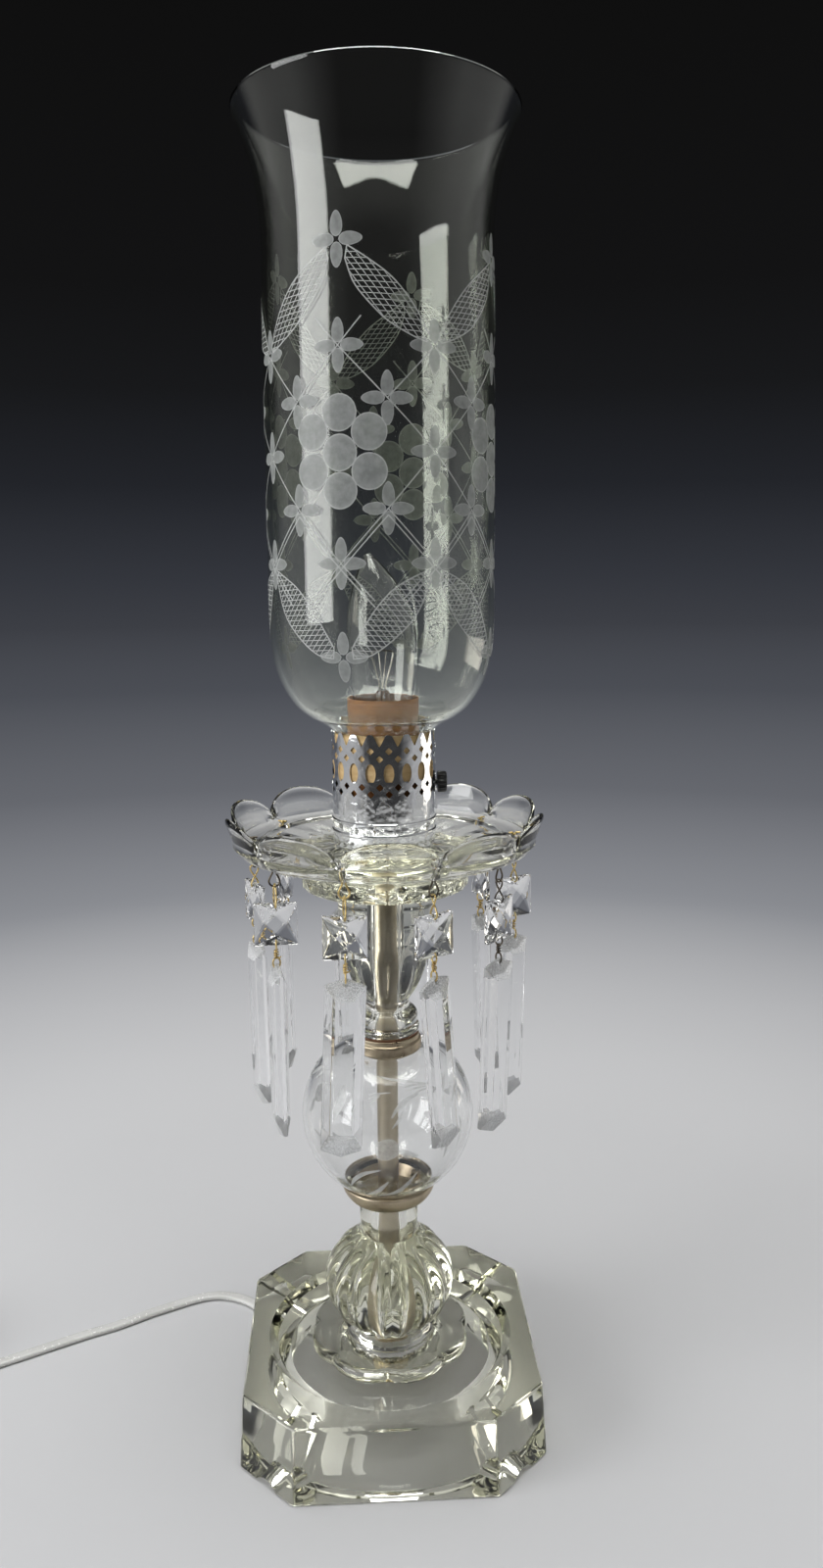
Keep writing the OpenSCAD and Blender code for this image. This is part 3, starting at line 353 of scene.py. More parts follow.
CHROME = metal("chrome_plate", [(0.2, (0.72, 0.73, 0.75)), (0.8, (0.86, 0.87, 0.88))],
               0.04, 0.13, 60, 1500, 0.000012, 0.0005)
BRONZE = metal("aged_bronze", [(0.25, (0.20, 0.15, 0.10)), (0.5, (0.42, 0.35, 0.25)),
                               (0.75, (0.60, 0.52, 0.38))], 0.22, 0.5, 90, 900, 0.00004)
BRASS = metal("aged_brass", [(0.25, (0.36, 0.27, 0.14)), (0.5, (0.62, 0.50, 0.29)),
                             (0.75, (0.75, 0.64, 0.40))], 0.18, 0.42, 80, 900, 0.00003)
TUBE = metal("champagne_tube", [(0.25, (0.36, 0.31, 0.23)), (0.5, (0.50, 0.44, 0.34)),
                                (0.75, (0.61, 0.56, 0.46))], 0.3, 0.46, 60, 1200, 0.00002)
GILT = metal("gilt_wire", [(0.3, (0.45, 0.32, 0.12)), (0.6, (0.80, 0.62, 0.28))],
             0.2, 0.4, 300, 2000, 0.00001)
DARK = metal("dark_wire", [(0.3, (0.05, 0.045, 0.04)), (0.65, (0.20, 0.17, 0.13))],
             0.3, 0.55, 300, 2000, 0.00001)
NICKEL = metal("nickel_sheet", [(0.3, (0.62, 0.60, 0.55)), (0.7, (0.78, 0.76, 0.71))],
               0.12, 0.3, 100, 1500, 0.00001)
TAN = matt("tan_card", [(0.3, (0.58, 0.38, 0.17)), (0.7, (0.74, 0.54, 0.28))],
           0.75, 0.95, 180, 1800, 0.00008, (1, 1, 3))
BROWN = matt("brown_card", [(0.3, (0.34, 0.125, 0.03)), (0.7, (0.5, 0.21, 0.06))],
             0.4, 0.6, 150, 1500, 0.00006, (1, 1, 4), coat=0.1)
BLACK = matt("black_moulding", [(0.3, (0.012, 0.012, 0.012)), (0.7, (0.03, 0.03, 0.03))],
             0.3, 0.5, 200, 2400, 0.00002)
STRAP = matt("black_strap", [(0.3, (0.02, 0.02, 0.02)), (0.7, (0.05, 0.05, 0.05))],
             0.7, 0.9, 300, 2500, 0.0001)
# Dull middles and paler rims: the rim colour is a painted highlight on the cuts
FROST = frost("ground_glass", (0.36, 0.375, 0.365), (0.78, 0.80, 0.78), 0.5, 0.66)
CUTS = frost("cut_sprays", (0.62, 0.63, 0.62), (0.85, 0.86, 0.85), 0.4, 0.6)
RUST = matt("rusty_gasket", [(0.3, (0.16, 0.07, 0.035)), (0.7, (0.34, 0.17, 0.09))],
            0.6, 0.9, 300, 1500, 0.00006)
LEAD = matt("clear_lead", [(0.3, (0.72, 0.72, 0.69)), (0.7, (0.84, 0.84, 0.82))],
            0.16, 0.28, 60, 500, 0.000008, see=0.3)


# Floor, backdrop, light
FADE_NEAR, FADE_FAR, FLOOR_R = 0.3, 9.0, 9.0
PALE = (0.54, 0.542, 0.55)
FADE = [(0.0, (0.61, 0.612, 0.62)), (0.045, (0.59, 0.592, 0.605)), (0.194, (0.43, 0.435, 0.455)),
        (0.336, (0.25, 0.258, 0.28)), (0.501, (0.132, 0.138, 0.156)), (0.731, (0.071, 0.076, 0.09)),
        (1.0, (0.047, 0.05, 0.06))]
SIDES = [(0.0, (0.61, 0.612, 0.62)), (0.4, (0.46, 0.46, 0.465)), (1.0, (0.36, 0.36, 0.365))]
BESIDE, AHEAD, DIM = (0.4, 0.62), (-0.85, -0.35), 0.1
BACKDROP = [(0.016, (0.047, 0.05, 0.06)), (0.1, (0.034, 0.037, 0.046)), (0.25, (0.0165, 0.018, 0.0225)),
            (0.4, (0.0092, 0.0096, 0.0108)), (0.55, (0.0066, 0.0066, 0.007)), (0.9, (0.005, 0.005, 0.005))]
WALLS = [(0.0, (0.36, 0.36, 0.365)), (0.35, (0.28, 0.28, 0.285)), (1.0, (0.26, 0.26, 0.26))]
FRONT = [(0.0, (0.03, 0.03, 0.032)), (0.12, (0.05, 0.05, 0.05)), (0.6, (0.06, 0.06, 0.06)),
         (1.0, (0.26, 0.26, 0.26))]


def floor():
    """A pale round floor whose far edge has the tone of the world's foot in each direction."""
    mat, t, out, where = start("floor_pale")
    cloud = noise(t, where, 3.0, 3.0)
    far = node(t, "ShaderNodeVectorMath", {0: where}, operation="LENGTH").outputs["Value"]
    far_log = node(t, "ShaderNodeMath", {0: far, 1: 10.0}, operation="LOGARITHM").outputs[0]
    steps = spread(t, far_log, 0.0, 1.0, math.log10(FADE_NEAR), math.log10(FADE_FAR))
    near = node(t, "ShaderNodeBsdfPrincipled", {
        "Base Color": (*PALE, 1), "Roughness": spread(t, cloud, 0.45, 0.6), "Specular IOR Level": 0.2})
    ahead = node(t, "ShaderNodeSeparateXYZ", {0: where}).outputs["Y"]
    turn = node(t, "ShaderNodeMath", {0: ahead, 1: far}, operation="DIVIDE").outputs[0]
    tone = node(t, "ShaderNodeMix", {0: spread(t, turn, 1.0, 0.0, *BESIDE), 6: ramp(t, steps, FADE),
                                     7: ramp(t, steps, SIDES)}, data_type="RGBA").outputs[2]
    level = node(t, "ShaderNodeMath", {0: spread(t, ahead, DIM, 1.0, -1.0, -0.5),
                                       1: spread(t, turn, DIM, 1.0, *AHEAD)}, operation="MAXIMUM").outputs[0]
    away = node(t, "ShaderNodeEmission", {"Color": tone, "Strength": level})
    blend = spread(t, far, 0.0, 1.0, FADE_NEAR, 0.9)
    both = node(t, "ShaderNodeMixShader", {0: blend, 1: near.outputs[0], 2: away.outputs[0]})
    t.links.new(both.outputs[0], out.inputs["Surface"])
    mesh = bpy.data.meshes.new("floor")
    n = 96
    mesh.from_pydata([(FLOOR_R * cos(360 * k / n), FLOOR_R * sin(360 * k / n), 0) for k in range(n)], [],
                     [tuple(range(n))])
    mesh.materials.append(mat)
    ob = bpy.data.objects.new("floor", mesh)
    scene.collection.objects.link(ob)


def world():
    """Dark graded backdrop behind the lamp (+Y), a dim room in front and paler walls at its sides."""
    world = bpy.data.worlds.new("world")
    scene.world = world
    world.use_nodes = True
    t = world.node_tree
    t.nodes.clear()
    out = node(t, "ShaderNodeOutputWorld")
    way = node(t, "ShaderNodeTexCoord").outputs["Generated"]
    part = node(t, "ShaderNodeSeparateXYZ", {0: way})
    y, z = part.outputs["Y"], part.outputs["Z"]
    backdrop = ramp(t, spread(t, z, 0.0, 1.0, -0.05, 0.45), BACKDROP)
    walls = ramp(t, spread(t, z, 0.0, 1.0, -0.05, 0.9), WALLS)
    front = ramp(t, spread(t, z, 0.0, 1.0, -0.05, 0.9), FRONT)
    room = node(t, "ShaderNodeMix", {0: spread(t, y, 1.0, 0.0, *AHEAD), 6: walls, 7: front},
                data_type="RGBA").outputs[2]
    behind = node(t, "ShaderNodeMath", {0: spread(t, y, 0.0, 1.0, *BESIDE),
                                        1: spread(t, z, 1.0, 0.0, 0.43, 0.55)},
                  operation="MULTIPLY").outputs[0]
    dark = node(t, "ShaderNodeBackground", {"Color": backdrop, "Strength": 1.0})
    pale = node(t, "ShaderNodeBackground", {"Color": room, "Strength": 1.0})
    both = node(t, "ShaderNodeMixShader", {0: behind, 1: pale.outputs[0], 2: dark.outputs[0]})
    t.links.new(both.outputs[0], out.inputs["Surface"])


def lamp(name, azimuth, away, z, wide, tall, level, colour=(1, 1, 1)):
    """Soft rectangular lamp, aimed at the object, given by the level at which it would be seen."""
    data = bpy.data.lights.new(name, "AREA")
    data.shape = "RECTANGLE"
    data.size, data.size_y = wide, tall
    data.energy = level * math.pi * wide * tall
    data.color = colour
    ob = bpy.data.objects.new(name, data)
    scene.collection.objects.link(ob)
    ob.location = place(azimuth, away, z)
    aim = Vector((0, 0, 0.3)) - ob.location
    ob.rotation_euler = aim.to_track_quat("-Z", "Y").to_euler()


def studio():
    floor()
    world()
    lamp("window", -67, 2.2, 0.91, 1.3, 1.52, 6.0, (0.99, 0.995, 1.0))
    lamp("low_right", 111, 1.1, 0.13, 0.63, 0.24, 1.8, (1.0, 0.94, 0.84))
    lamp("overhead", 0, 0.1, 1.9, 1.2, 1.2, 6.4)


studio()


# Cord, coil and plug
CORD_W, CORD_T = 5.6, 2.8
ROUTE = [(-59, 59), (-63, 63), (-67, 67), (-73, 72.4), (-80, 76.6), (-88, 79), (-96, 78.8),
         (-105, 75.8), (-114, 71.4), (-124, 66.4), (-133, 61), (-142, 56), (-151, 52), (-160, 47.6),
         (-169, 43), (-177.5, 38.6), (-186, 34.2), (-194, 30.2), (-203, 25.6), (-212, 20.8),
         (-221, 16), (-227, 12.8), (-233, 9.6)]


def cord_path():
    """Points of the cord's middle line with the twist of its flat section at each."""
    last, before = ROUTE[-1], ROUTE[-2]
    turns, mid_r, gap, tie = 8.24, 29.2, 0.7, 0.6
    flat_z, low_z = CORD_T / 2 + 0.2, tie + 0.6 + CORD_W / 2
    first = math.degrees(math.atan2(last[1] - before[1], last[0] - before[0])) + 90
    pitch, layer = CORD_T + gap, CORD_W + 0.6
    half, lead = turns / 2, 6
    out_r = mid_r + half * pitch / 2
    cx = last[0] + lead * sin(first) - out_r * cos(first)
    cy = last[1] - lead * cos(first) - out_r * sin(first)
    up_from, up_to = half - 0.25, half + 0.25

    def radius(t):
        if t < up_to:
            return out_r - pitch * t
        return out_r - pitch * up_to + pitch * (t - up_to) + pitch * smooth((t - up_to) / 0.5)

    n = len(ROUTE)
    run = []
    for i, (x, y) in enumerate(ROUTE):
        u = smooth((i - 17) / (n - 2 - 17))
        run.append((x, y, flat_z + (low_z - flat_z) * u, 90 * u))
    fine = bent([p[:3] for p in run], 4)
    twist = []
    for i in range(n - 1):
        twist += [run[i][3] + (run[i + 1][3] - run[i][3]) * k / 4 for k in range(4)]
    twist.append(run[-1][3])
    pts = [(*p, a) for p, a in zip(fine, twist)]
    count = math.ceil(turns * 60)
    for i in range(count + 1):
        t = turns * i / count
        a = first - 360 * t
        z = low_z + layer * smooth((t - up_from) / (up_to - up_from))
        pts.append((cx + radius(t) * cos(a), cy + radius(t) * sin(a), z, 90))
    end = first - 360 * turns
    end_r = radius(turns)
    side, along = (cos(end), sin(end)), (sin(end), -cos(end))
    length, clear, bend = 42, 16, 60
    top, plug_z = low_z + layer, 4.7
    for i in range(1, 15):
        s = length * i / 14
        a = math.degrees(max(0, s - clear) / bend)
        ahead, inward = min(s, clear) + bend * sin(a), bend * (1 - cos(a))
        drop = smooth((s - clear + 2) / (length - clear))
        pts.append((cx + (end_r - inward) * side[0] + ahead * along[0],
                    cy + (end_r - inward) * side[1] + ahead * along[1],
                    top + (plug_z - top) * drop, 90))
    turn = end - math.degrees((length - clear) / bend)
    way = (sin(turn), -cos(turn))
    x, y, z, _ = pts[-1]
    pts.append((x + lead * way[0], y + lead * way[1], plug_z, 90))
    return pts, way, (cx, cy, first, half, pitch)


def cord():
    pts, way, coil = cord_path()
    # Two round conductors side by side in one clear jacket
    section = []
    for side in (1, -1):
        for k in range(8):
            a = (-105 + 30 * k) if side == 1 else (75 + 30 * k)
            section.append((side * 1.36 + 1.42 * cos(a), 1.38 * sin(a)))
    rings = []
    m = len(pts)
    for i in range(m):
        p = Vector(pts[i][:3])
        d = (Vector(pts[min(i + 1, m - 1)][:3]) - Vector(pts[max(i - 1, 0)][:3])).normalized()
        side = Vector((d.y, -d.x, 0)).normalized()
        up = side.cross(d)
        a = pts[i][3]
        rings.append([tuple(p + side * (u * cos(a) - v * sin(a)) + up * (u * sin(a) + v * cos(a)))
                      for u, v in section])
    v, f = rings_solid(rings, False)
    flex = piece("cord_flex", v, f, LEAD, "lamp", ("cord_run", "cord_coil"), "cord_clear", 60)

    end = Vector(pts[-1][:3])
    heading = math.degrees(math.atan2(way[1], way[0])) - 90

    def at_end(part):
        return turned(part, heading, tuple(end))

    # Plug body: sections of a rounded rectangle along the cord
    stations = [(0.1, 2.5, 3.3, 1.2), (2.0, 2.9, 3.5, 1.3), (4.5, 4.6, 3.7, 1.6), (7.0, 7.0, 3.9, 2.0),
                (9.0, 8.2, 4.1, 2.2), (12.0, 8.4, 4.2, 2.2), (12.6, 7.9, 3.8, 2.2), (13.2, 8.4, 4.2, 2.2),
                (14.6, 8.4, 4.2, 2.2), (15.2, 7.9, 3.8, 2.2), (15.8, 8.4, 4.2, 2.2),
                (17.2, 8.4, 4.2, 2.2), (17.8, 7.9, 3.8, 2.2), (18.4, 8.4, 4.2, 2.2),
                (23.2, 8.5, 4.4, 2.0), (23.9, 8.1, 4.0, 1.8)]
    rings = []
    for y, w, h, r in stations:
        ring = []
        for qx, qz, a0 in ((1, 1, 0), (-1, 1, 90), (-1, -1, 180), (1, -1, 270)):
            for k in range(5):
                a = a0 + 22.5 * k
                ring.append((qx * (w - r) + r * cos(a), y, qz * (h - r) + r * sin(a)))
        rings.append(ring)
    v, f = at_end(rings_solid(rings, False))
    body = piece("plug_moulding", v, f, LEAD, "lamp", ("plug_body",), "cord_clear", 40)

    # Tapered strain relief through the base's notch, with moulded rings
    stations = []
    exit_d = math.hypot(*ROUTE[0])
    for k in range(25):
        d = 24 * k / 24
        ease = d / 24
        rib = 0.0 if k % 3 == 2 and 3 < k < 23 else 0.35
        stations.append((exit_d - 24 + d, 3.7 - 0.75 * ease - 0.35 + rib,
                         2.7 - 0.85 * ease - 0.35 + rib))
    rings = []
    for d, w, h in stations:
        ring = []
        for k in range(20):
            a = 360 * k / 20
            u = math.copysign(abs(cos(a)) ** 0.6, cos(a)) * (w - 0.05)
            z = math.copysign(abs(sin(a)) ** 0.6, sin(a)) * (h - 0.05)
            ring.append((-d * cos(45) - u * sin(45), d * sin(45) - u * cos(45),
                         0.15 + 2.7 + z - (2.7 - h)))
        rings.append(ring)
    v, f = rings_solid(rings, False)
    relief = piece("strain_relief", v, f, LEAD, "lamp", ("cord_grommet",), "cord_clear", 50)

    # Strap round the coil's turns
    cx, cy, first, half, pitch = coil
    a = first + 150
    low_r, high_r = 29.2 - half * pitch / 2 - 3.4, 29.2 + half * pitch / 2 + CORD_T + 1.2
    low, high = 0.2, 4.0 + CORD_W + 0.6 + CORD_W / 2 + 0.4
    loop = softened([(low_r - 0.3, low + 0.3), (high_r + 0.3, low + 0.3),
                     (high_r + 0.3, high + 0.3), (low_r - 0.3, high + 0.3)], 1.4, 4)
    rings = []
    for i, (r, z) in enumerate(loop):
        r0, z0 = loop[i - 1]
        r1, z1 = loop[(i + 1) % len(loop)]
        d = Vector((r1 - r0, z1 - z0)).normalized()
        out = Vector((d.y, -d.x))
        ring = []
        for s, h in ((-3.5, -0.28), (3.5, -0.28), (3.5, 0.28), (-3.5, 0.28)):
            q = (r + out.x * h, z + out.y * h)
            ring.append((cx + q[0] * cos(a) - s * sin(a), cy + q[0] * sin(a) + s * cos(a), q[1]))
        rings.append(ring)
    v, f = rings_solid(rings, True)
    strap = piece("coil_strap", v, f, STRAP, "lamp", ("cord_tie",), "tie_black", 50)

    [(x * MM, y * MM, z * MM) for x, y, z, _ in pts]


cord()


# Base: a square block with cut corners, a round well above and a hollow below
BASE_W, BASE_TOP_W, BASE_CUT, BASE_H = 135.6, 131.4, 23.8, 35
WELL_R, WELL_FLOOR_R, WELL_Z = 56, 52.5, 31
HOLLOW_R, HOLLOW_ROOF_R, HOLLOW_Z = 58, 48, 22
BORE_R = 5.15
ARCH_H, ARCH_R = 2.8, 9
NOTCH_W, NOTCH_H = 8.2, 5.9
FLOOR_GAP = 0.25


def base_outline(width):
    """Square with cut corners, each corner eased, with points along every side."""
    h = width / 2
    c = h - BASE_CUT * width / BASE_W
    face = (h - c) / math.sqrt(2)
    rows = [2, 4, NOTCH_W / 2 - 0.06, NOTCH_W / 2 + 0.06, 5, 5.8, 6.5, 9, 12]
    across = sorted([-s for s in rows] + [0] + rows)
    points = []
    for k in range(4):
        a = 90 * k
        side = [(h, c * (-1 + i / 10), 1.6 if i in (0, 20) else 0) for i in range(21)]
        middle = (h + c) / 2
        corner = [(middle - s / math.sqrt(2), middle + s / math.sqrt(2), 0) for s in across if abs(s) < face]
        points += [(x * cos(a) - y * sin(a), x * sin(a) + y * cos(a), r) for x, y, r in side + corner]
    return softened(points)


def from_diagonal(x, y):
    """The nearest diagonal's azimuth and the point's distance from it, to the left."""
    diagonal = 45 + 90 * math.floor(math.degrees(math.atan2(y, x)) / 90)
    return diagonal, y * cos(diagonal) - x * sin(diagonal)


def base():
    floor_line = base_outline(BASE_W)
    face = 16.83
    corner_a = math.degrees(math.asin(face / HOLLOW_R))
    around = []
    lifts = []
    for x, y in floor_line:
        diagonal, s = from_diagonal(x, y)
        if abs(s) <= face:
            off = math.degrees(math.asin(s / HOLLOW_R))
        else:
            a = math.degrees(math.atan2(y, x)) - diagonal
            edge = math.degrees(math.atan2(face, 79.06))
            off = math.copysign(corner_a + (abs(a) - edge) / (45 - edge) * (45 - corner_a), a)
        around.append(diagonal + off)
        lift = max(0, math.sqrt(max(0, ARCH_R ** 2 - s * s)) + ARCH_H - ARCH_R)
        if diagonal == 135 and abs(s) < NOTCH_W / 2:
            lift = NOTCH_H
        lifts.append(lift)

    def outer(inset, z, lifted=False):
        ring = []
        for i, (x, y) in enumerate(floor_line):
            height = z + (lifts[i] if lifted else 0)
            width = BASE_W + (BASE_TOP_W - BASE_W) * height / BASE_H - 2 * inset
            ring.append((x * width / BASE_W, y * width / BASE_W, height))
        return ring

    def inner(r, z):
        return [(r * cos(a), r * sin(a), z) for a in around]

    def hollow(more, z):
        ring = []
        for a, lift in zip(around, lifts):
            r = HOLLOW_R + (HOLLOW_ROOF_R - HOLLOW_R) * (z + lift) / HOLLOW_Z + more
            ring.append((r * cos(a), r * sin(a), z + lift))
        return ring

    rings = [outer(1.5, FLOOR_GAP, True), outer(0.5, 0.5, True), outer(0.05, 1.2, True), outer(0, 8.5),
             outer(0, 33.2), outer(0.35, 34.2), outer(1.0, 34.8), outer(2.0, BASE_H),
             inner(WELL_R + 1.4, BASE_H), inner(WELL_R + 0.6, 34.85), inner(WELL_R, 34.3),
             inner(WELL_FLOOR_R + 0.8, 31.9), inner(WELL_FLOOR_R + 0.3, 31.3), inner(WELL_FLOOR_R - 0.6, WELL_Z),
             inner(38, WELL_Z), inner(20, WELL_Z), inner(BORE_R + 0.5, WELL_Z), inner(BORE_R, 30.5),
             inner(BORE_R, 22.5), inner(BORE_R + 0.5, HOLLOW_Z), inner(25, HOLLOW_Z),
             inner(HOLLOW_ROOF_R - 1.6, HOLLOW_Z), inner(HOLLOW_ROOF_R - 0.5, 21.7),
             inner(HOLLOW_ROOF_R + 0.2, 20.8), inner(53.9, 9), hollow(0, 1.2), hollow(0.5, 0.5),
             hollow(1.5, FLOOR_GAP)]
    v, f = rings_solid(rings)
    piece("base_block", v, f, PRESSED, "lamp", ("base",), "clear_glass", 28)


# Pedestal: a scalloped foot, a ribbed bulb and a plain neck
RIBS, RIB_DEPTH, RIB_R, RIB_Z, RIB_HALF_H = 16, 1.8, 29.8, 30.5, 24.6
NECK_R, FOOT_R, FOOT_VALLEY_R, FOOT_LOBES, FOOT_T = 13.2, 37, 34.8, 8, 6
PED_Z, PED_H = WELL_Z, 71
FOOT_TURN = 26.5


def lobed(azimuth, crest, valley, count):
    """Radius of a rim of equal arcs that meet in valleys, with a crest at azimuth 0."""
    half = 180 / count
    b = (azimuth + half) % (2 * half) - half
    chord = valley * sin(half)
    rise = crest - valley * cos(half)
    rho = (chord * chord + rise * rise) / (2 * rise)
    c = crest - rho
    return c * cos(b) + math.sqrt(rho * rho - (c * sin(b)) ** 2)


def pedestal_r(z):
    low_z = RIB_Z - RIB_HALF_H * 0.744

    def oval(h):
        u = (h - RIB_Z) / RIB_HALF_H
        return RIB_R * math.sqrt(1 - u * u) if abs(u) < 1 else 0

    if z < low_z:
        return oval(low_z) + (FOOT_R - 6 - oval(low_z)) * ((low_z - z) / (low_z - FOOT_T)) ** 2
    neck = NECK_R if z > RIB_Z else 0
    return (oval(z) ** 4 + neck ** 4) ** 0.25


def pedestal():
    n = RIBS * 14
    levels = [6.6 + (61 - 6.6) * i / 44 for i in range(45)]
    outline = [(17.6, 0.08), (FOOT_R - 2.2, 0.08), (FOOT_R - 0.9, 0.35), (FOOT_R - 0.15, 1.1), (FOOT_R, 2.4),
               (FOOT_R - 0.1, 4.2), (FOOT_R - 0.6, 5.2), (FOOT_R - 1.6, 5.8), (FOOT_R - 3, FOOT_T)]
    outline += [(pedestal_r(z), z) for z in levels]
    outline += [(13.35, 63), (13.4, 69.6), (13.1, 70.5), (12.3, PED_H), (BORE_R + 0.4, PED_H), (BORE_R, 70.6),
                (BORE_R, 9.8), (BORE_R + 0.4, 9.5), (15.4, 9.5), (16.6, 9.1), (17, 8), (17, 0.6)]
    rings = []
    for r, z in outline:
        ring = []
        for i in range(n):
            a = 360 * i / n
            q = r
            if r > 30 and z < 6.5:
                azimuth = a + 90 + FOOT_TURN
                q = r - (FOOT_R - lobed(azimuth, FOOT_R, FOOT_VALLEY_R, FOOT_LOBES)) * smooth((r - 30) / 4)
            elif z >= 6.5 and r > NECK_R + 0.5:
                neck_fade = min(1, max(0, (r - NECK_R - 1) / 6))
                foot_fade = min(1, max(0, (z - FOOT_T - 1) / 7))
                q = r - RIB_DEPTH * neck_fade * foot_fade * (1 - abs(sin(RIBS * a / 2)))
            ring.append((q * cos(a), q * sin(a), PED_Z + z))
        rings.append(ring)
    v, f = rings_solid(rings)
    piece("ribbed_pedestal", v, f, PRESSED, "lamp", ("pedestal",), "clear_glass", 30)


# Stem: a ringed foot, a fluted vase, a plain band and a drum
FLUTES, FLUTE_DEPTH = 10, 1.3
STEM_Z, STEM_H, STEM_NECK_Z, VASE_TOP_Z, BAND_H = 183.61, 66.4, 15, 43.7, 9
BAND_R, DRUM_R, STEM_NECK_R = 20.3, 21, 9.6


def stem():
    n = FLUTES * 20
    vase = [(STEM_NECK_R + (BAND_R - 0.4 - STEM_NECK_R) * sin(90 * t) ** 0.72,
             STEM_NECK_Z + (VASE_TOP_Z - STEM_NECK_Z) * t) for t in [i / 26 for i in range(2, 27)]]
    low = softened([(BORE_R, 0.08, 0.2), (14.5, 0.08, 0.5), (14.7, 2.5, 0.6), (12.9, 3.1, 0.4)])
    outline = low + bent([(12.9, 3.4, 0), (13.7, 4.3, 0), (14, 6.3, 0), (13.7, 8.3, 0), (12.4, 10.1, 0),
                          (10.6, 11.5, 0), (10.1, 13, 0), (10.3, 15, 0)], 3)
    outline = [p[:2] for p in outline] + vase
    outline += softened([(BAND_R, 44.2, 0.4), (BAND_R, 52.3, 0.4), (DRUM_R, 53.1, 0.5), (DRUM_R, STEM_H, 0.5),
                         (BORE_R, STEM_H, 0.2)])[2:]
    rings = []
    for r, z in outline:
        t = (z - STEM_NECK_Z) / (VASE_TOP_Z - STEM_NECK_Z)
        fade = sin(180 * min(1, max(0, t * 1.02))) if r > 6 and 0 < t < 1 else 0
        rings.append([((r - FLUTE_DEPTH * fade * abs(cos(FLUTES * a / 2))) * cos(a),
                       (r - FLUTE_DEPTH * fade * abs(cos(FLUTES * a / 2))) * sin(a), STEM_Z + z)
                      for a in [360 * i / n for i in range(n)]])
    v, f = rings_solid(rings)
    piece("fluted_stem", v, f, PRESSED, "lamp", ("stem",), "clear_glass", 30)


# Bobeche: a scalloped dish with hook holes in its flange and a stepped skirt underneath
LOBES, CREST_R, VALLEY_R, CREST_Z, VALLEY_Z = 10, 69.4, 64.9, 34.8, 24.6
BOBECHE_Z, FLANGE_Z, DISH_Z, HOOK_R = 250.01, 22, 20, 57


def bobeche_section(azimuth):
    """The dish's cross-section at an azimuth, as radius and height above its seat."""
    s = lobed(azimuth, CREST_R, VALLEY_R, LOBES)
    half = 180 / LOBES
    b = ((azimuth + half) % (2 * half) - half) / half
    arch = (1 - b * b) ** 0.55
    top = VALLEY_Z + (CREST_Z - VALLEY_Z) * arch
    wall = 1.6 + 0.4 * (1 - arch)
    # Cuts: lenses on the dish's floor, a sunburst under the dish and flutes round the skirt
    lens = max(0, 1 - abs(((azimuth + 9) % 18 - 9) / 7.2)) ** 0.5
    burst = abs((azimuth / 9) % 2 - 1)
    petal = abs(sin(10 * azimuth))
    low = top - FLANGE_Z
    return [
        (BORE_R, 0.6), (BORE_R + 0.5, 0.08), (22.4, 0.08), (23, 0.7), (25.5, 1.05),
        (28, 1.05 + 0.7 * burst), (32, 1.05 + 0.9 * burst), (35.4, 1.05), (36.3 - 0.8 * (1 - petal), 1.6),
        (36.5 - 1.0 * (1 - petal), 3.4), (36.5 - 0.4 * (1 - petal), 5.2), (36.4, 5.6), (35.9, 6.0), (36.4, 6.4),
        (36.5 - 0.9 * (1 - petal), 7.2), (36.5, 8.6), (37.4, 9.6), (39.5, 11), (42, 11.8 + 0.9 * burst),
        (46, 13.1 + 1.2 * burst), (49, 14.6 + 0.9 * burst), (52, 16), (56.5, 16.6), (61.5, 17.2),
        (63.2, 18.1), (64.3, 19.4),
        (min(s, 64.8 + 0.1 * low), FLANGE_Z - 0.6), (min(s, 65.4) + (s - min(s, 65.4)) * 0.3, FLANGE_Z + 0.25 * low),
        (s - 0.75 * (s - 65 if s > 65 else 0) * 0.4, FLANGE_Z + 0.55 * low), (s - 0.35, FLANGE_Z + 0.76 * low),
        (s - 0.02, FLANGE_Z + 0.84 * low), (s, top - 0.8), (s - 0.25, top - 0.25), (s - wall / 2, top),
        (s - wall + 0.25, top - 0.25), (s - wall - 0.05, top - 0.9),
        (s - wall - 0.5, FLANGE_Z + 0.72 * low), (s - wall - 0.9 - 0.10 * low, FLANGE_Z + 0.45 * low),
        (63.2 - 0.03 * low, FLANGE_Z + 0.2 * low), (62.4, FLANGE_Z + 0.5), (61.2, FLANGE_Z), (57, FLANGE_Z),
        (53.2, FLANGE_Z), (52.4, FLANGE_Z + 0.3), (51.9, FLANGE_Z + 0.75), (51.1, FLANGE_Z + 0.75),
        (50.4, FLANGE_Z), (49.4, FLANGE_Z - 0.9), (44, FLANGE_Z - 1.3), (40, FLANGE_Z - 1.5 - 0.3 * lens),
        (36, FLANGE_Z - 1.7 - 0.8 * lens), (31, DISH_Z - 0.9 * lens), (27, DISH_Z - 0.5 * lens), (23.4, DISH_Z),
        (16, DISH_Z), (BORE_R + 0.5, DISH_Z), (BORE_R, 19.6)]


